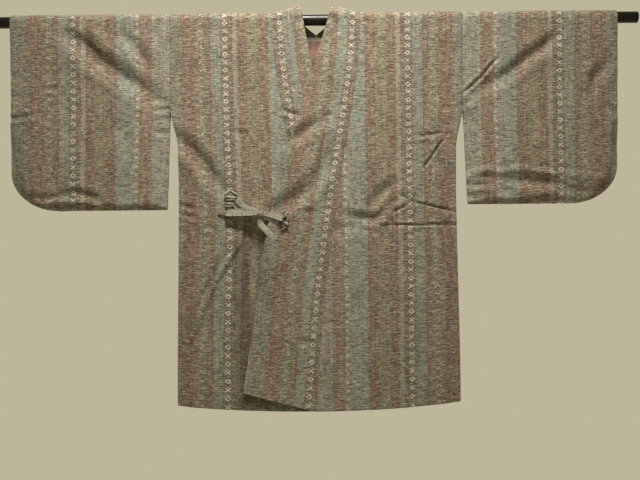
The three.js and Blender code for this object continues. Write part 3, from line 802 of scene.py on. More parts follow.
@dataclass(frozen=True)
class RodPaint(Finish):
    """Black baked enamel on steel tube: near black, semi-gloss, with a faint orange peel and dust."""

    name: str = "black_enamel"
    black: str = "#060606"
    dusty: str = "#101011"
    dust_cells: float = 38.0
    peel_cells: float = 420.0

    def look(self, add: Callable) -> dict:
        """Draws the enamel on Object coordinates.

        Args:
            add: adds one node.

        Returns:
            The shader's inputs.
        """
        place = add("TexCoord", {}, out="Object")
        dust = add("TexNoise", {}, place, Scale=self.dust_cells, Detail=4.0)
        colour = set_stops(add("ValToRGB", {}, dust), ((0.45, self.black), (0.8, self.dusty)))
        rough = add("MapRange", {}, dust, 0.3, 0.8, 0.28, 0.46)
        peel = add("TexNoise", {}, place, Scale=self.peel_cells, Detail=1.0)
        bump = add("Bump", {}, Strength=0.08, Distance=0.0002, Height=peel)
        return dict(Base_Color=colour, Roughness=rough, Specular_IOR_Level=0.3, Normal=bump)


@dataclass(frozen=True)
class Paper(Finish):
    """Pale matt backdrop paper for the floor."""

    name: str = "pale_paper"
    tone: str = "#d9d8cc"

    def look(self, add: Callable) -> dict:
        """One plain tone."""
        return dict(Base_Color=linear(self.tone), Roughness=0.95)


# ---------------------------------------------------------------- sheets

# How long a ripple beside a seam is: a few stitches.
STITCHES = 9.5


def deselect_all() -> None:
    """Leaves nothing selected, because an operator acts on all that is."""
    bpy.ops.object.select_all(action="DESELECT")


def new_piece(name: str, points: np.ndarray, faces: list, places: np.ndarray, *worn: Material) -> bpy.types.Object:
    """Makes a mesh with its bolt map and materials, and leaves it alone selected.

    Args:
        name: the piece's name.
        points: its points, in millimetres.
        faces: each face's points by number.
        places: each point's place on the bolt, in millimetres.
        worn: its materials in order.

    Returns:
        The object, at the origin.
    """
    mesh = bpy.data.meshes.new(name)
    mesh.from_pydata((points * MM).tolist(), [], faces)
    corners = np.zeros(len(mesh.loops), int)
    mesh.loops.foreach_get("vertex_index", corners)
    mesh.uv_layers.new(name="bolt").data.foreach_set("uv", (places * MM)[corners].astype(np.float32).ravel())
    for material in worn:
        mesh.materials.append(material)
    piece = bpy.data.objects.new(name, mesh)
    bpy.context.scene.collection.objects.link(piece)
    deselect_all()
    piece.select_set(True)
    bpy.context.view_layer.objects.active = piece
    return piece


def outwards(middles: np.ndarray) -> np.ndarray:
    """Finds the wall's outward direction, level with its row, so that it never leans along X.

    Args:
        middles: a grid of the wall's middle points.

    Returns:
        A unit vector for each point.
    """
    normal = np.cross(np.gradient(middles, axis=0), np.gradient(middles, axis=1))
    normal[..., 0] = 0
    return normal / np.maximum(np.linalg.norm(normal, axis=-1, keepdims=True), 1e-9)


@dataclass
class ClothSheet:
    """A sheet of cloth from a grid of its outer points, in millimetres, with its place on the bolt."""

    name: str
    points: np.ndarray
    u: np.ndarray
    v: np.ndarray
    thickness: float
    outer: Material
    inner: Material
    covered: np.ndarray | None = None

    def build(self) -> bpy.types.Object:
        """Makes the sheet and gives it its thickness inwards.

        Returns:
            The finished object, at the origin.
        """
        columns, rows = self.points.shape[:2]
        corner = np.arange(columns * rows).reshape(columns, rows)
        quads = np.stack([corner[:-1, :-1], corner[1:, :-1], corner[1:, 1:], corner[:-1, 1:]], axis=-1)
        places = np.stack([self.u.ravel(), self.v.ravel()], axis=-1)
        faces = quads.reshape(-1, 4).tolist()
        piece = new_piece(self.name, self.points.reshape(-1, 3), faces, places, self.outer, self.inner)
        # The share of painted shade at each point, which the cloth's material reads.
        if self.covered is not None:
            shares = piece.data.attributes.new("covered", "FLOAT", "POINT")
            shares.data.foreach_set("value", self.covered.astype(np.float32).ravel())
        wall = piece.modifiers.new("wall", "SOLIDIFY")
        wall.thickness = self.thickness * MM
        wall.offset = -1
        wall.material_offset = 1
        bpy.ops.object.modifier_apply(modifier=wall.name)
        bpy.ops.object.shade_smooth_by_angle(angle=math.radians(50))
        return piece


def dress(piece: bpy.types.Object, slot: str, *nodes: str) -> None:
    """Makes a finished piece ride with the part and stand for its nodes, which it hides.

    Args:
        piece: the piece.
        slot: not used.
        nodes: the nodes that it stands for.
    """
    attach(piece, BODY)
    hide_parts(*nodes)
    log.info("%s: %d faces, stands for %s", piece.name, len(piece.data.polygons), ", ".join(nodes))


def seam_dip(away: np.ndarray, depth: float = 0.95, reach: float = 2.4) -> np.ndarray:
    """How far the cloth turns in at a seam, by the distance from it."""
    return depth * bell(away / reach)


def pucker(away: np.ndarray, along: np.ndarray, seed: int, height: float = 0.55, reach: float = 11) -> np.ndarray:
    """The small uneven ripples that a sewn seam draws into the cloth beside it."""
    return height * soft_noise(along, 0 * along, STITCHES, seed) * np.exp(-away / reach)


def over_shoulder(x: np.ndarray, way: np.ndarray, height: float = 0.7, cell: float = 34) -> np.ndarray:
    """How deep the shoulder's creases are, less the slight waviness that lifts the cloth off the rail."""
    wavy = height * (1 + soft_noise(x, 0 * x, cell, 3)) * bell((way + 24) / 26)
    return sum(fold.depth(x, -way) for fold in SHOULDER_FOLDS) - wavy


def woven(along: np.ndarray) -> np.ndarray:
    """The place on the bolt for a way along the coat: the kasuri's spacing widens a little towards the hem."""
    down = np.maximum(along, 0)
    return along + 0.073 * down - 0.82e-4 * down**2


# ---------------------------------------------------------------- the coat's pieces


@dataclass(frozen=True)
class CollarRow:
    """A row of the collar down the front, as part of the way from its seam to its free edge."""

    seam_z: float
    seam_x: float
    edge_z: float
    over_x: float
    under_x: float


COLLAR_ROWS = (
    CollarRow(-863, -7, -820, -167, -160),
    CollarRow(-750, 2, -728, -152, -147),
    CollarRow(-655, 10, -643, -139, -136),
    CollarRow(-565, 20, -559, -128, -126),
    CollarRow(-478, 32, -476, -114, -112),
    CollarRow(-412, 42, -412, -101, -99),
    CollarRow(-350, 51, -350, -84.5, -80),
    CollarRow(-285, 62, -285, -65, -58),
    CollarRow(-235, 71, -236, -51, -40),
    CollarRow(-170, 81, -171, -26, -15),
    CollarRow(-107, 90, -107, -8, 8),
    CollarRow(-50, 95.5, -45, 12, 20),
    CollarRow(0, 98, 10, 29.5, 30),
)
# The collar's free edge over the rail: turn, x, y, z.
COLLAR_OVER_ROD = (
    (0, 29.5, -17, 10), (30, 31.5, -14, 20.5), (60, 33.5, -8, 29), (90, 34.5, 0, 33),
    (120, 33, 9, 26), (150, 30.5, 15, 12), (180, 28, 17.5, 0),
)
# How far apart the cloth's points are, along it and across.
ROW_STEP = GRID = 4.2
# Rows are closer together at the hem: these far above it.
HEM_STEPS = np.array([0, 0.8, 1.8, 3.2, 5.5])
FRONT_LEVELS = np.concatenate([FORM.hem_z + HEM_STEPS, np.arange(FORM.hem_z + 10, -2, ROW_STEP)])
BACK_LEVELS = np.concatenate(
    [np.arange(-FORM.neck_depth - 4, FORM.hem_z + 9, -ROW_STEP), FORM.hem_z + HEM_STEPS[::-1]]
)
ROD_TURNS = np.linspace(0, math.pi, 19)
NECK_TURNS = np.linspace(0, math.pi / 2, 25)[1:]
# The wall's middle over the rail, as Y and Z.
OVER_ROD_Y, OVER_ROD_Z = -FORM.over_rod * np.cos(ROD_TURNS), FORM.over_rod * np.sin(ROD_TURNS)
PATTERN_REPEAT = 36.2


def collar_column(name: str, z: np.ndarray) -> np.ndarray:
    """One column of the collar's table, read at heights of the seam."""
    return look_up([row.seam_z for row in COLLAR_ROWS], [getattr(row, name) for row in COLLAR_ROWS], z)


def bolt_place(side: Side, piece: int) -> float:
    """Where a piece starts along the bolt: each is cut from its own stretch, at a whole repeat."""
    return PATTERN_REPEAT * (60 * piece + 25 * (side is Side.RIGHT))


def path_length(levels: np.ndarray, behind: np.ndarray) -> np.ndarray:
    """The place along the cloth of each row, from the front of the rail down, and up over it to the back."""
    return np.concatenate([-levels, -FORM.over_rod * ROD_TURNS, -FORM.over_rod * math.pi + behind])


@dataclass
class BodyPanel:
    """Front and back of one side in a single length over the shoulder, lined with red silk.

    Each pair of places is the ends of a soft step, but bell_z is the middle and the half height of the stretch
    that the tie draws in.
    """

    side: Side
    cloth: Material
    lining: Material
    bolt_start: float = 12.0
    cut: tuple = (0.327, 1.76)
    width: float = 290.0
    drawn_in: float = 8.0
    bell_z: tuple = (-430.0, 190.0)
    drawn_out: float = 4.0
    drawn_out_z: tuple = (-60.0, -700.0)
    follows: tuple = (1.0, 7.0)
    follows_z: tuple = (-190.0, -320.0)
    slips: float = 9.0
    slips_z: tuple = (-430.0, -600.0)
    outer_stripe: tuple = (225.0, 300.0)
    # Where the painted shade beside the lap lies on the right front, and its weakest share, nearest the lap's
    # edge.
    lap_shade_below: tuple = (-452.0, -486.0)
    lap_shade_from: tuple = (-187.0, -180.0)
    lap_shade_fades: tuple = (-160.0, -125.0)
    lap_shade_least: float = 0.62
    hem_rounds: tuple = (0.5, 2.0)
    seeds: tuple = (31, 38)

    def build(self) -> None:
        """Makes the panel."""
        seam, sign = FORM.seam / 2, self.side.value
        front, over = len(FRONT_LEVELS), len(ROD_TURNS)
        neck_z = -(FORM.neck_depth + seam) * np.sin(NECK_TURNS)
        inner = np.concatenate([
            collar_column("seam_x", FRONT_LEVELS) + seam,
            np.full(over, FORM.neck_half_width + seam),
            np.maximum(seam, (FORM.neck_half_width + seam) * np.cos(NECK_TURNS)),
            np.full(len(BACK_LEVELS), seam),
        ])
        level = np.concatenate([FRONT_LEVELS, 0 * ROD_TURNS, neck_z, BACK_LEVELS])
        x = sign * mix(inner, FORM.side_edge(level), graded(self.width, GRID)[:, None])
        z = np.broadcast_to(level, x.shape)
        y, height = np.empty(x.shape), FORM.hemmed(x, z)
        for face, part in ((Face.FRONT, slice(0, front)), (Face.BACK, slice(front + over, None))):
            y[:, part] = FORM.body_y(face, self.side, x[:, part], z[:, part])
        y[:, front : front + over], height[:, front : front + over] = OVER_ROD_Y, OVER_ROD_Z
        middles = np.stack([x, y, height], axis=-1)
        if self.side is Side.RIGHT:
            middles = middles[::-1]
        along = path_length(FRONT_LEVELS, np.concatenate([neck_z, BACK_LEVELS]))
        stands = FORM.wall / 2 + self.relief(middles, inner, level, along)
        points = middles + outwards(middles) * stands[..., None]
        u = self.bolt_start + points[..., 0] * sign + self.drawn(points[..., 0], points[..., 2], along)
        v = np.broadcast_to(woven(along), u.shape) + bolt_place(self.side, 1)
        name = f"coat_body_{self.side.word}"
        # Only the right front gets the painted shade beside the lap.
        covered = self.covered(points) if self.side is Side.RIGHT else None
        piece = ClothSheet(name, points, u, v, FORM.cloth, self.cloth, self.lining, covered).build()
        dress(piece, "cloth", f"body_{self.side.word}")

    def covered(self, points: np.ndarray) -> np.ndarray:
        """Finds the stretch of the right front, below the tie and beside the lap's edge, that gets painted shade.

        Args:
            points: the panel's outer points.

        Returns:
            How far each point lies in it, from 0 to 1.
        """
        x, y, z = points[..., 0], points[..., 1], points[..., 2]
        below_tie = smooth(*self.lap_shade_below, z) * (y < 0)
        share = mix(1.0, self.lap_shade_least, smooth(*self.lap_shade_fades, x))
        return below_tie * smooth(*self.lap_shade_from, x) * share

    def drawn(self, x: np.ndarray, z: np.ndarray, along: np.ndarray) -> np.ndarray:
        """Draws the front's grain aside: towards the tie on the right, outwards lower on the left.

        Args:
            x: places across.
            z: heights.
            along: each row's place along the cloth.

        Returns:
            How far aside the grain is at each point.
        """
        if self.side is Side.RIGHT:
            middle, half = self.bell_z
            aside, follows = self.drawn_in * bell((z - middle) / half), self.follows[0]
        else:
            aside, follows = -self.drawn_out * smooth(*self.drawn_out_z, z), self.follows[1]
        # The outermost stripe follows the side seam in, then slips round it below the waist.
        moved = follows * smooth(*self.follows_z, z) - (follows + self.slips) * smooth(*self.slips_z, z)
        aside = aside + moved * smooth(*self.outer_stripe, np.abs(x))
        return aside * smooth(0, 60, along)

    def relief(self, middles: np.ndarray, inner: np.ndarray, level: np.ndarray, along: np.ndarray) -> np.ndarray:
        """Turns in and puckers the seams: the collar's or neck's, the centre back, the armhole and the side.

        Args:
            middles: the wall's middle points.
            inner: each row's inner edge.
            level: each row's height.
            along: each row's place along the cloth.

        Returns:
            How far each point stands off the plain wall.
        """
        x, z = middles[..., 0], middles[..., 2]
        to_inner = np.abs(x * self.side.value - inner)
        to_side = np.abs(FORM.side_edge(level) - np.abs(x))
        way = np.broadcast_to(along, x.shape)
        inner_seed, side_seed = (seed + self.side.value for seed in self.seeds)
        out = -seam_dip(to_inner) - seam_dip(to_side) - over_shoulder(x, way)
        out = out + pucker(to_inner, way, inner_seed) + pucker(to_side, way, side_seed)
        height, reach = self.hem_rounds
        return out - height * bell((z - FORM.hemmed(x, np.full(x.shape, FORM.hem_z))) / reach)


@dataclass
class Sleeve:
    """A sleeve in one length over the shoulder, its bottom corner rounded and the cuff open above.

    bottom_reach is how far the bottom seam draws the two walls together, near the body and, past bottom_widens,
    further out. cuff_closes and inner_closes are how far down and how far in those edges do.
    """

    side: Side
    cloth: Material
    lining: Material
    cuff_x: float = 667.0
    cuff_shift: float = 5.0
    cuff_leans: float = 3.0
    cuff_end_z: float = -225.0
    bottom_z: float = -410.0
    right_drops: float = 7.0
    inner_lean: float = 9.0
    inner_shuts: float = 0.72
    corner_across: float = 105.0
    corner_height: float = 82.0
    corner_rows: int = 26
    bottom_reach: tuple = (14.0, 26.0)
    bottom_widens: tuple = (430.0, 520.0)
    cuff_closes: tuple = (60.0, 30.0)
    inner_closes: tuple = (30.0, 34.0)
    width: float = 349.0
    cut: tuple = (0.349, 0.86)
    cuff_share: float = 0.7
    seeds: tuple = (53, 59, 71)

    def outer_edge(self, z: np.ndarray) -> np.ndarray:
        """Finds the sleeve's outer edge, with its rounded corner.

        Args:
            z: heights.

        Returns:
            How far out from the centre it is at each height.
        """
        below = np.clip((self.bottom_z + self.corner_height - z) / self.corner_height, 0, 1)
        cuff = self.cuff_x - self.side.value * self.cuff_shift
        if self.side is Side.RIGHT:
            cuff = cuff + self.cuff_leans * smooth(-110, -330, z)
        return cuff - self.corner_across * (1 - np.sqrt(1 - below * below))

    def below_armhole(self, z: np.ndarray) -> np.ndarray:
        """0 down to the armhole's end and 1 at the sleeve's bottom."""
        return np.clip((FORM.armhole_end_z - z) / (FORM.armhole_end_z - self.bottom_z), 0, 1)

    def lean(self, z: np.ndarray) -> np.ndarray:
        """How far the free inner edge swings out below the armhole."""
        return self.inner_lean * self.below_armhole(z)

    def sewn(self, x: np.ndarray, z: np.ndarray) -> np.ndarray:
        """Finds the sewn edges, and the inner edge that hangs nearly shut.

        Args:
            x: places across.
            z: heights.

        Returns:
            How near to them each point is, from 0 to 1.
        """
        out, end = np.abs(x), FORM.armhole_end_z
        reach = mix(*self.bottom_reach, smooth(*self.bottom_widens, out))
        bottom = smooth(self.bottom_z + reach, self.bottom_z, z)
        down, across = self.cuff_closes
        edge = smooth(self.cuff_end_z, self.cuff_end_z - down, z) * smooth(across, 0, self.outer_edge(z) - out)
        down, across = self.inner_closes
        to_inner = out - FORM.armhole_x - self.lean(z)
        inner = self.inner_shuts * smooth(end, end - down, z) * smooth(across, 0, to_inner)
        return np.maximum(np.maximum(bottom, edge), inner)

    def levels(self) -> np.ndarray:
        """Heights of the rows from the bottom up to the rail, closer together round the corner."""
        turns = np.linspace(math.pi / 2, 0, self.corner_rows)
        corner = self.bottom_z + self.corner_height * (1 - np.sin(turns))
        return np.concatenate([corner, np.arange(corner[-1] + ROW_STEP, -2, ROW_STEP)])

    def build(self) -> None:
        """Makes the sleeve."""
        levels = self.levels()
        level = np.concatenate([levels, 0 * ROD_TURNS, levels[::-1]])
        front, over = len(levels), len(ROD_TURNS)
        inner = FORM.armhole_x + FORM.seam / 2 + self.lean(level)
        shares = graded(self.width, GRID)[:, None]
        x = self.side.value * mix(inner, self.outer_edge(level), shares)
        z = np.array(np.broadcast_to(level, x.shape))
        y = np.empty(x.shape)
        for face, part in ((Face.FRONT, slice(0, front)), (Face.BACK, slice(front + over, None))):
            px, pz = x[:, part], z[:, part]
            y[:, part] = FORM.hang(face, px, pz, self.sewn(px, pz), 0 * px)
        y[:, front : front + over], z[:, front : front + over] = OVER_ROD_Y, OVER_ROD_Z
        across = np.broadcast_to(shares, x.shape)
        if self.side is Side.RIGHT:
            z = z - self.right_drops * self.below_armhole(level)
            x, y, z, across = x[::-1], y[::-1], z[::-1], across[::-1]
        middles = np.stack([x, y, z], axis=-1)
        way = np.broadcast_to(path_length(levels, levels[::-1]), x.shape)
        points = middles + outwards(middles) * (FORM.wall / 2 + self.relief(middles, level, way))[..., None]
        u = np.abs(points[..., 0]) - FORM.armhole_x - self.lean(level) * (1 - across)
        name = f"coat_sleeve_{self.side.word}"
        v = way + bolt_place(self.side, 2)
        piece = ClothSheet(name, points, u, v, FORM.cloth, self.cloth, self.lining).build()
        dress(piece, "cloth", f"sleeve_{self.side.word}")

    def relief(self, middles: np.ndarray, level: np.ndarray, way: np.ndarray) -> np.ndarray:
        """Turns in and puckers the armhole seam, and rounds the cuff and the inner edge.

        Args:
            middles: the wall's middle points.
            level: each row's height.
            way: each point's place along the cloth.

        Returns:
            How far each point stands off the plain wall.
        """
        x, sign, (inner_seed, cuff_seed, bottom_seed) = np.abs(middles[..., 0]), self.side.value, self.seeds
        to_inner = np.abs(x - (FORM.armhole_x + self.lean(level)))
        to_outer = np.abs(self.outer_edge(level) - x)
        out = -seam_dip(to_inner) - self.cuff_share * seam_dip(to_outer)
        out = out + pucker(to_inner, way, inner_seed + sign)
        out = out + self.cuff_share * pucker(to_outer, way, cuff_seed + sign)
        out = out - over_shoulder(middles[..., 0], way)
        return out + 0.5 * soft_noise(x, 0 * x, 14, bottom_seed) * np.exp(-(level - self.bottom_z) / 14)


@dataclass
class CollarHalf:
    """Half of the collar: a doubled band from the centre back, round the neck and down the front to the hem."""

    side: Side
    cloth: Material
    thickness: float = 2.2
    back_y: float = 17.5
    back_drop: float = 32.0
    back_narrows: float = 3.0
    bolt_start: float = 195.0
    width: float = 120.0
    cut: tuple = (0.165, 1.03)
    edge_stands: float = 5.0
    edge_stands_z: float = -530.0
    edge_stands_over: float = 70.0
    peak_rise: float = 0.4
    edge_rounds: tuple = (1.2, 3.0)
    edge_share: float = 0.6
    seeds: tuple = (83, 91)

    def front_rows(self, shares: np.ndarray) -> np.ndarray:
        """Finds the wall's middle down the front, hem first.

        Args:
            shares: shares of the way from the seam to the free edge.

        Returns:
            A grid of points.
        """
        column = "over_x" if self.side is Side.LEFT else "under_x"
        seam_x = collar_column("seam_x", FRONT_LEVELS) - FORM.seam / 2
        edge_x, edge_z = collar_column(column, FRONT_LEVELS), collar_column("edge_z", FRONT_LEVELS)
        x = self.side.value * mix(seam_x, edge_x, shares)
        z = mix(FORM.hemmed(self.side.value * seam_x, FRONT_LEVELS), edge_z, shares)
        y = FORM.body_y(Face.FRONT, self.side, x, z)
        if self.side is Side.LEFT:
            stands = self.edge_stands * bell((z - self.edge_stands_z) / self.edge_stands_over)
            y = y - stands * smooth(0.35, 1, shares)
        return np.stack([x, y, z], axis=-1)

    def over_rows(self, shares: np.ndarray) -> np.ndarray:
        """Finds the wall's middle over the rail beside the neck.

        Args:
            shares: shares of the way from the seam to the free edge.

        Returns:
            A grid of points.
        """
        turns, *columns = np.array(COLLAR_OVER_ROD, float).T
        edge_x, edge_y, edge_z = (look_up(turns, column, np.degrees(ROD_TURNS)) for column in columns)
        edge = np.stack([self.side.value * edge_x, edge_y, edge_z], -1)
        seam_x = np.full(len(ROD_TURNS), self.side.value * (FORM.neck_half_width - FORM.seam / 2))
        return mix(np.stack([seam_x, OVER_ROD_Y, OVER_ROD_Z], -1), edge, shares[..., None])

    def back_rows(self, shares: np.ndarray) -> np.ndarray:
        """Finds the wall's middle round the back of the neck to the centre seam.

        Args:
            shares: shares of the way from the seam to the free edge.

        Returns:
            A grid of points.
        """
        gap = FORM.seam / 2
        z = -(FORM.neck_depth - gap) * np.sin(NECK_TURNS)
        x = self.side.value * np.maximum(gap, (FORM.neck_half_width - gap) * np.cos(NECK_TURNS))
        seam = np.stack([x, FORM.body_y(Face.BACK, self.side, x, z), z], axis=-1)
        x = self.side.value * np.maximum(gap, COLLAR_OVER_ROD[-1][1] * np.cos(NECK_TURNS) ** self.back_narrows)
        edge = np.stack([x, np.full(len(z), self.back_y), -self.back_drop * np.sin(NECK_TURNS)], -1)
        return mix(seam, edge, shares[..., None])

    def build(self) -> None:
        """Makes the collar half."""
        shares = graded(self.width, GRID)[:, None]
        middles = np.concatenate([self.front_rows(shares), self.over_rows(shares), self.back_rows(shares)], axis=1)
        x, y, z = middles[..., 0], middles[..., 1], middles[..., 2]
        seam, front = middles[0], len(FRONT_LEVELS)
        away = np.linalg.norm(middles - seam, axis=-1)
        away[:, :front] = np.abs(collar_column("seam_x", z[:, :front]) - x[:, :front] * self.side.value)
        run = np.concatenate([[0], np.cumsum(np.linalg.norm(np.diff(seam, axis=0), axis=-1))])
        way = np.broadcast_to((run[front] - run), away.shape).copy()
        way[:, :front] = -z[:, :front] * 1.01
        relief = self.relief(middles, shares, away, way)
        if self.side is Side.LEFT:
            middles, away, way, relief = middles[::-1], away[::-1], way[::-1], relief[::-1]
        points = middles + outwards(middles) * (FORM.wall / 2 + relief)[..., None]
        name = f"coat_collar_{self.side.word}"
        u, v = self.bolt_start + away, woven(way) + bolt_place(self.side, 3)
        piece = ClothSheet(name, points, u, v, self.thickness, self.cloth, self.cloth).build()
        dress(piece, "cloth", f"collar_{self.side.word}")

    def relief(self, middles: np.ndarray, shares: np.ndarray, away: np.ndarray, way: np.ndarray) -> np.ndarray:
        """Turns in and puckers the seam, rounds the free edge, and lays in the creases at the neck.

        Args:
            middles: the wall's middle points.
            shares: shares of the way from the seam to the free edge.
            away: each point's distance from the seam.
            way: each point's place along the cloth.

        Returns:
            How far each point stands off the plain wall.
        """
        x, y, z = middles[..., 0], middles[..., 1], middles[..., 2]
        to_edge = np.linalg.norm(middles - middles[-1], axis=-1)
        crown = self.peak_rise * np.broadcast_to(shares, away.shape) ** 1.3 * smooth(-25, 12, z)
        seam_seed, edge_seed = (seed + self.side.value for seed in self.seeds)
        out = crown - seam_dip(away) + pucker(away, way, seam_seed)
        out = out - sum(fold.depth(x, z) for fold in NECK_FOLDS) * (y < 0)
        height, reach = self.edge_rounds
        return out - height * bell(to_edge / reach) + self.edge_share * pucker(to_edge, way, edge_seed)


@dataclass
class BackLining:
    """The red lining where the neck opening shows it, laid inside the back."""

    lining: Material
    thickness: float = 0.9
    half_width: float = 120.0
    top_z: float = -45.0
    bottom_z: float = -215.0
    top_rise: float = 22.0
    clear: float = 0.5
    wrinkle: float = 0.5
    wrinkle_cell: float = 26.0
    seed: int = 5
    columns: int = 61
    rows: int = 41
    cut: tuple = (0.24, 0.17)

    def build(self) -> None:
        """Makes the lining, its good side towards the front."""
        share = np.linspace(-1, 1, self.columns)[::-1, None]
        down = np.linspace(0, 1, self.rows)
        x = np.broadcast_to(share * self.half_width, (self.columns, self.rows))
        z = mix(self.top_z + self.top_rise * share * share, self.bottom_z, down)
        y = FORM.body_y(Face.BACK, Side.LEFT, x, z) - FORM.wall / 2 - FORM.seam - self.thickness - self.clear
        y = y + self.wrinkle * soft_noise(x, z, self.wrinkle_cell, self.seed)
        points = np.stack([x, y, z], axis=-1)[::-1]
        u, v = points[..., 0] + self.half_width, -points[..., 2]
        points = points[:, ::-1]
        piece = ClothSheet("coat_lining_back", points, u, v, self.thickness, self.lining, self.lining).build()
        dress(piece, "lining", "lining_back")


# ---------------------------------------------------------------- the tie

# The middles of each strip's sections: x, z, how far it stands off the right front, and its width.
TIE_STRIPS = {
    "tie_strap_right": ((-190, -402, 1.5, 12), (-160, -421, 1.5, 12), (-132.2, -430, 1.5, 9)),
    "tie_tail_right": ((-178, -395, 6.4, 12.6), (-158, -413, 4.2, 12.6), (-131.8, -421, 4.2, 9)),
    "tie_loop_right": (
        (-130.8, -426, 7.8, 9), (-150, -425, 7.6, 14), (-188, -425, 7.2, 15), (-197, -425, 8.2, 14),
        (-200, -425, 10.2, 13), (-197, -425, 12.2, 14), (-180, -424, 13.6, 16), (-150, -424, 13.2, 15),
        (-130.8, -426, 11.6, 9),
    ),
    "tie_stub_right": ((-186, -425, 4.9, 12), (-204, -424.5, 4.4, 12), (-219, -423.5, 3.2, 10)),
    "tie_strap_left": ((-84.4, -445, 6.3, 11), (-100, -441, 6.3, 11), (-117.4, -433, 6.3, 9)),
    "tie_loop_left": (
        (-117.4, -427, 8.7, 9), (-103, -430, 9, 11), (-90, -433, 11.7, 14), (-79, -436, 12.6, 15),
        (-76.4, -436, 14.4, 14), (-79, -436, 16.2, 15), (-95, -431, 15.6, 14), (-117.4, -427, 12, 9),
    ),
    "tie_tail_left": (
        (-127, -439, 9.2, 9.5), (-124, -451, 9.2, 13), (-109.5, -467.5, 8, 13.5), (-93.5, -485.5, 6.8, 13.5),
    ),
}


class Weave(Enum):
    """The stripe that a bit of the tie shows, as its distance from the tie cloth's selvage."""

    PALE = 8.0
    RED_BROWN = 34.0
    DARK = 58.0
    PINK = 82.0
    TAN = 106.0


@dataclass
class TieStrip:
    """A strap, loop or tail of the tie: a flat folded strip of the coat's pale grey stripe."""

    name: str
    sections: tuple
    cloth: Material
    thickness: float = 1.7
    bolt_start: float = 12.0
    steps: int = 14
    sunk: float = 0.35

    def build(self) -> None:
        """Makes the strip through its sections."""
        count = len(self.sections)
        fine = np.linspace(0, count - 1, self.steps * count)
        x, z, rise, width = (look_up(np.arange(count), column, fine) for column in zip(*self.sections))
        middle = np.stack([x, FORM.tie_ground(x, z) - rise, z], axis=-1)
        half = middle[self.steps * count // 2]
        way = np.array([middle[0][2] - half[2], 0, half[0] - middle[0][0]])
        way = way / np.linalg.norm(way)
        out = np.cross(np.gradient(middle, axis=0), way)
        out = out / np.linalg.norm(out, axis=-1, keepdims=True)
        run = np.concatenate([[0], np.cumsum(np.linalg.norm(np.diff(middle, axis=0), axis=-1))])
        shares = np.array([-1, -0.93, -0.8, -0.55, -0.25, 0, 0.25, 0.55, 0.8, 0.93, 1])[:, None]
        crown = 0.7 * (1 - shares**4) - 0.35 * bell(shares / 0.16)
        crown = crown + 0.4 * soft_noise(run + 0 * shares, 8 * shares + 0 * run, 7, len(self.name))
        across = shares[..., None] * (width / 2)[:, None] * way
        points = middle + across + out * (self.thickness / 2 - self.sunk + crown)[..., None]
        start = Weave.TAN.value if "stub" in self.name else self.bolt_start
        u = start + (shares * width / 2)[::-1]
        v = np.broadcast_to(run, u.shape) + 90 * len(self.name)
        points = points[::-1]
        piece = ClothSheet(f"coat_{self.name}", points, u, v, self.thickness, self.cloth, self.cloth).build()
        dress(piece, "tie", self.name)


@dataclass(frozen=True)
class Puff:
    """One rounded bit of folded cloth: its middle from the ornament's, its size and turn, and how proud it is."""

    x: float
    z: float
    length: float
    width: float
    turn: float
    rise: float
    thickness: float
    weave: Weave = Weave.PALE
    sides: int = 0

    def grid(self) -> np.ndarray:
        """Shapes the puff round its middle, with its poles front and back.

        Returns:
            A grid of points, turns by levels.
        """
        around = np.linspace(0, 2 * math.pi, 49)[:-1]
        up = np.linspace(-math.pi / 2, math.pi / 2, 15)
        a, e = np.meshgrid(around, up, indexing="ij")
        reach = np.ones(a.shape)
        if self.sides:
            part = 2 * math.pi / self.sides
            reach = (math.cos(part / 2) / np.cos(np.mod(a, part) - part / 2)) ** 0.8
        level = np.cos(e) ** 0.45 * reach
        along, aside = self.length / 2 * level * np.cos(a), self.width / 2 * level * np.sin(a)
        turn = math.radians(self.turn)
        x = self.x + along * math.cos(turn) - aside * math.sin(turn)
        z = self.z + along * math.sin(turn) + aside * math.cos(turn)
        y = -self.rise - self.thickness / 2 * (1 + np.sign(e) * np.abs(np.sin(e)) ** 0.8)
        return np.stack([x, y, z], axis=-1)


@dataclass
class Ornament:
    """A knot or sewn-down rosette of the tie, from puffs of folded cloth."""

    name: str
    x: float
    z: float
    stands_off: float
    puffs: tuple
    cloth: Material

    def build(self) -> None:
        """Makes the ornament as one mesh of closed puffs."""
        points, faces, places = [], [], []
        for puff in self.puffs:
            grid = puff.grid()
            middle = grid.shape[1] // 2
            ground = float(np.min(FORM.tie_ground(self.x + grid[:, middle, 0], self.z + grid[:, middle, 2])))
            grid = grid + np.array([self.x, ground - self.stands_off, self.z])
            count, rows = grid.shape[0], grid.shape[1] - 2
            index = len(points) + np.arange(count * rows).reshape(count, rows)
            after = np.roll(index, -1, axis=0)
            quads = np.stack([index[:, :-1], index[:, 1:], after[:, 1:], after[:, :-1]], -1)
            faces += quads.reshape(-1, 4).tolist()
            low = len(points) + count * rows
            faces += [(low, int(i), int(j)) for i, j in zip(index[:, 0], after[:, 0])]
            faces += [(low + 1, int(j), int(i)) for i, j in zip(index[:, -1], after[:, -1])]
            new = np.concatenate([grid[:, 1:-1].reshape(-1, 3), grid[:1, 0], grid[:1, -1]])
            points += new.tolist()
            at = puff.weave.value + 0.5 * (new[:, 0] - self.x)
            places += np.stack([at, new[:, 2] - self.z + 7 * puff.turn], -1).tolist()
        piece = new_piece(f"coat_{self.name}", np.array(points), faces, np.array(places), self.cloth)
        bpy.ops.object.mode_set(mode="EDIT")
        bpy.ops.mesh.select_all(action="SELECT")
        bpy.ops.mesh.normals_make_consistent(inside=False)
        bpy.ops.object.mode_set(mode="OBJECT")
        bpy.ops.object.shade_smooth()
        dress(piece, "tie", self.name)


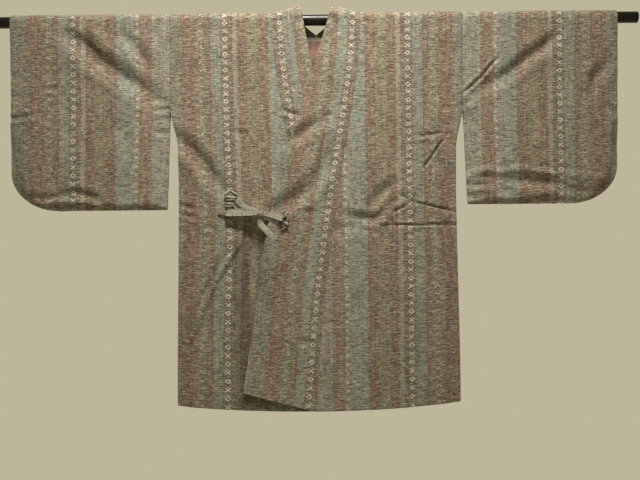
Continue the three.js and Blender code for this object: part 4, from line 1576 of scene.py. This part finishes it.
KNOT_PUFFS = (
    Puff(0, -0.6, 15, 10, 66, 0.3, 11, Weave.TAN),
    Puff(-3.6, 1.4, 16, 6.4, -20, 7.6, 4.2),
    Puff(2.6, -2.2, 12, 4.6, 66, 7.2, 3.8),
)
BASE_RIGHT_PUFFS = (
    Puff(0, -3, 30, 26, 30, 0, 4.4, Weave.DARK, 6),
    Puff(-7.2, 5.4, 19, 4.6, 35, 2.6, 4.6),
    Puff(7.2, 5.6, 19, 4.6, -35, 2.8, 4.6),
    Puff(0, 0.6, 15, 5.0, 4, 1.8, 3.6, Weave.TAN),
    Puff(0.6, -4.6, 23, 6.2, -5, 2.8, 4.8),
    Puff(-0.6, -10.4, 21, 5.2, 5, 2.4, 4.2, Weave.TAN),
    Puff(-3.0, -18.4, 18, 5.2, -3, 3.0, 4.2),
    Puff(-3.6, -23.6, 19, 5.2, 4, 2.6, 4.0),
    Puff(-5.0, -28.2, 15, 4.2, 0, 2.0, 3.2, Weave.TAN),
)
BASE_LEFT_PUFFS = (
    Puff(0, 1, 20, 30, 0, 0, 3.4, Weave.DARK, 5),
    Puff(-3.4, 17.5, 15, 4.2, 14, 1.8, 4.4, Weave.TAN),
    Puff(4.8, 14.0, 14, 4.2, 58, 2.2, 4.6, Weave.PALE),
    Puff(6.8, 3.0, 17, 4.4, 84, 2.6, 4.2, Weave.RED_BROWN),
    Puff(4.6, -8.6, 11, 6.0, -44, 2.8, 4.8, Weave.PINK),
    Puff(-1.6, -18.0, 16, 4.0, 34, 2.0, 4.6, Weave.TAN),
    Puff(-5.2, -12.0, 12, 4.2, -40, 2.6, 3.8, Weave.DARK),
    Puff(0.6, 6.4, 12, 4.4, 24, 3.2, 4.2, Weave.RED_BROWN),
)
# Each ornament's x and z, how far it stands off the right front, and its puffs.
ORNAMENTS = {
    "tie_knot": (-124, -427, 0.2, KNOT_PUFFS),
    "tie_base_right": (-190, -386, 0.4, BASE_RIGHT_PUFFS),
    "tie_base_left": (-72, -441, 4.9, BASE_LEFT_PUFFS),
}


# ---------------------------------------------------------------- rail, stage, light


@dataclass
class Rod:
    """The straight black rail that carries the coat."""

    paint: Material
    radius: float = FORM.rod_radius
    length: float = FORM.rod_length
    sides: int = 96
    chamfer: float = 0.8

    def build(self) -> None:
        """Makes the rail as a round bar with softened ends."""
        deselect_all()
        bpy.ops.mesh.primitive_cylinder_add(
            vertices=self.sides, radius=self.radius * MM, depth=self.length * MM, rotation=(0, math.pi / 2, 0)
        )
        piece = bpy.context.object
        piece.name = piece.data.name = "rail"
        bpy.ops.object.transform_apply(location=True, rotation=True, scale=True)
        edge = piece.modifiers.new("chamfer", "BEVEL")
        edge.width = self.chamfer * MM
        edge.segments = 3
        edge.limit_method = "ANGLE"
        edge.angle_limit = math.radians(60)
        bpy.ops.object.modifier_apply(modifier=edge.name)
        bpy.ops.object.shade_smooth_by_angle(angle=math.radians(30))
        piece.data.materials.clear()
        piece.data.materials.append(self.paint)
        dress(piece, "rod", "rod")


@dataclass(frozen=True)
class Lamp:
    """A soft square light: its place and side in metres, its power in watts and its spread in degrees."""

    name: str
    place: tuple
    size: float
    power: float
    spread: float


@dataclass
class Studio:
    """Pale floor, soft lights and the camera. Its lengths are metres."""

    floor: Material
    lamps: tuple = (
        Lamp("key", (-0.05, -0.70, 0.92), 0.35, 18.5, 120),
        Lamp("behind", (-0.2, 1.6, 0.9), 1.2, 20, 180),
    )
    lamp_colour: tuple = (1.0, 0.95, 0.84)
    air: str = "#dcd3b3"
    air_strength: float = 0.50
    seen_adds: float = 0.22
    floor_z: float = -1.5
    floor_size: float = 3.6
    sensor: float = 36.0
    frame_width: float = 1.414
    distance: float = 2.1
    aim_x: float = 0.0047
    aim_z: float = -0.486
    roll: float = math.radians(0.52)

    def build(self) -> None:
        """Makes the camera first, then the floor, the lights and the surrounding light."""
        self.camera()
        deselect_all()
        bpy.ops.mesh.primitive_plane_add(size=self.floor_size, location=(0, 0, self.floor_z))
        floor = bpy.context.object
        floor.name = "floor"
        floor.data.materials.append(self.floor)
        for lamp in self.lamps:
            self.light(lamp)
        world = bpy.data.worlds.new("soft_room")
        bpy.context.scene.world = world
        world.use_nodes = True
        tree = world.node_tree
        sky = tree.nodes["Background"]
        sky.inputs["Color"].default_value = linear(self.air)
        seen = node(tree, "LightPath", {}, out="Is Camera Ray")
        strength = node(tree, "Math", "MULTIPLY_ADD", seen, self.seen_adds, self.air_strength)
        tree.links.new(strength, sky.inputs["Strength"])

    def camera(self) -> None:
        """Stands the camera level with the coat's middle, rolled very slightly."""
        data = bpy.data.cameras.new("camera")
        data.sensor_width = self.sensor
        data.lens = self.sensor * self.distance / self.frame_width
        camera = bpy.data.objects.new("camera", data)
        camera.location = (self.aim_x, -self.distance, self.aim_z)
        camera.rotation_euler = (math.pi / 2, self.roll, 0)
        bpy.context.scene.collection.objects.link(camera)
        bpy.context.scene.camera = camera

    def light(self, lamp: Lamp) -> None:
        """Adds a light that faces the coat's middle.

        Args:
            lamp: what it is and where.
        """
        data = bpy.data.lights.new(lamp.name, "AREA")
        data.size = lamp.size
        data.energy = lamp.power
        data.color = self.lamp_colour
        data.spread = math.radians(lamp.spread)
        light = bpy.data.objects.new(lamp.name, data)
        light.location = lamp.place
        aim = np.array([0, 0, self.aim_z]) - np.array(lamp.place)
        flat = math.hypot(aim[0], aim[1])
        light.rotation_euler = (math.pi / 2 + math.atan2(aim[2], flat), 0, math.atan2(-aim[0], aim[1]))
        bpy.context.scene.collection.objects.link(light)


def main() -> None:
    """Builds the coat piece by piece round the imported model."""
    logging.basicConfig(level=logging.INFO, format="%(name)s: %(message)s")
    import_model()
    bpy.context.scene.view_settings.view_transform = "Standard"
    Studio(Paper().make()).build()
    cloth, lining, tie = Tsumugi().make(), Lining().make(), TIE_CLOTH.make()
    Rod(RodPaint().make()).build()
    for side in Side:
        BodyPanel(side, cloth, lining).build()
        Sleeve(side, cloth, lining).build()
        CollarHalf(side, cloth).build()
    BackLining(lining).build()
    for name, sections in TIE_STRIPS.items():
        TieStrip(name, sections, tie).build()
    for name, place in ORNAMENTS.items():
        Ornament(name, *place, tie).build()


if __name__ == "__main__":
    main()
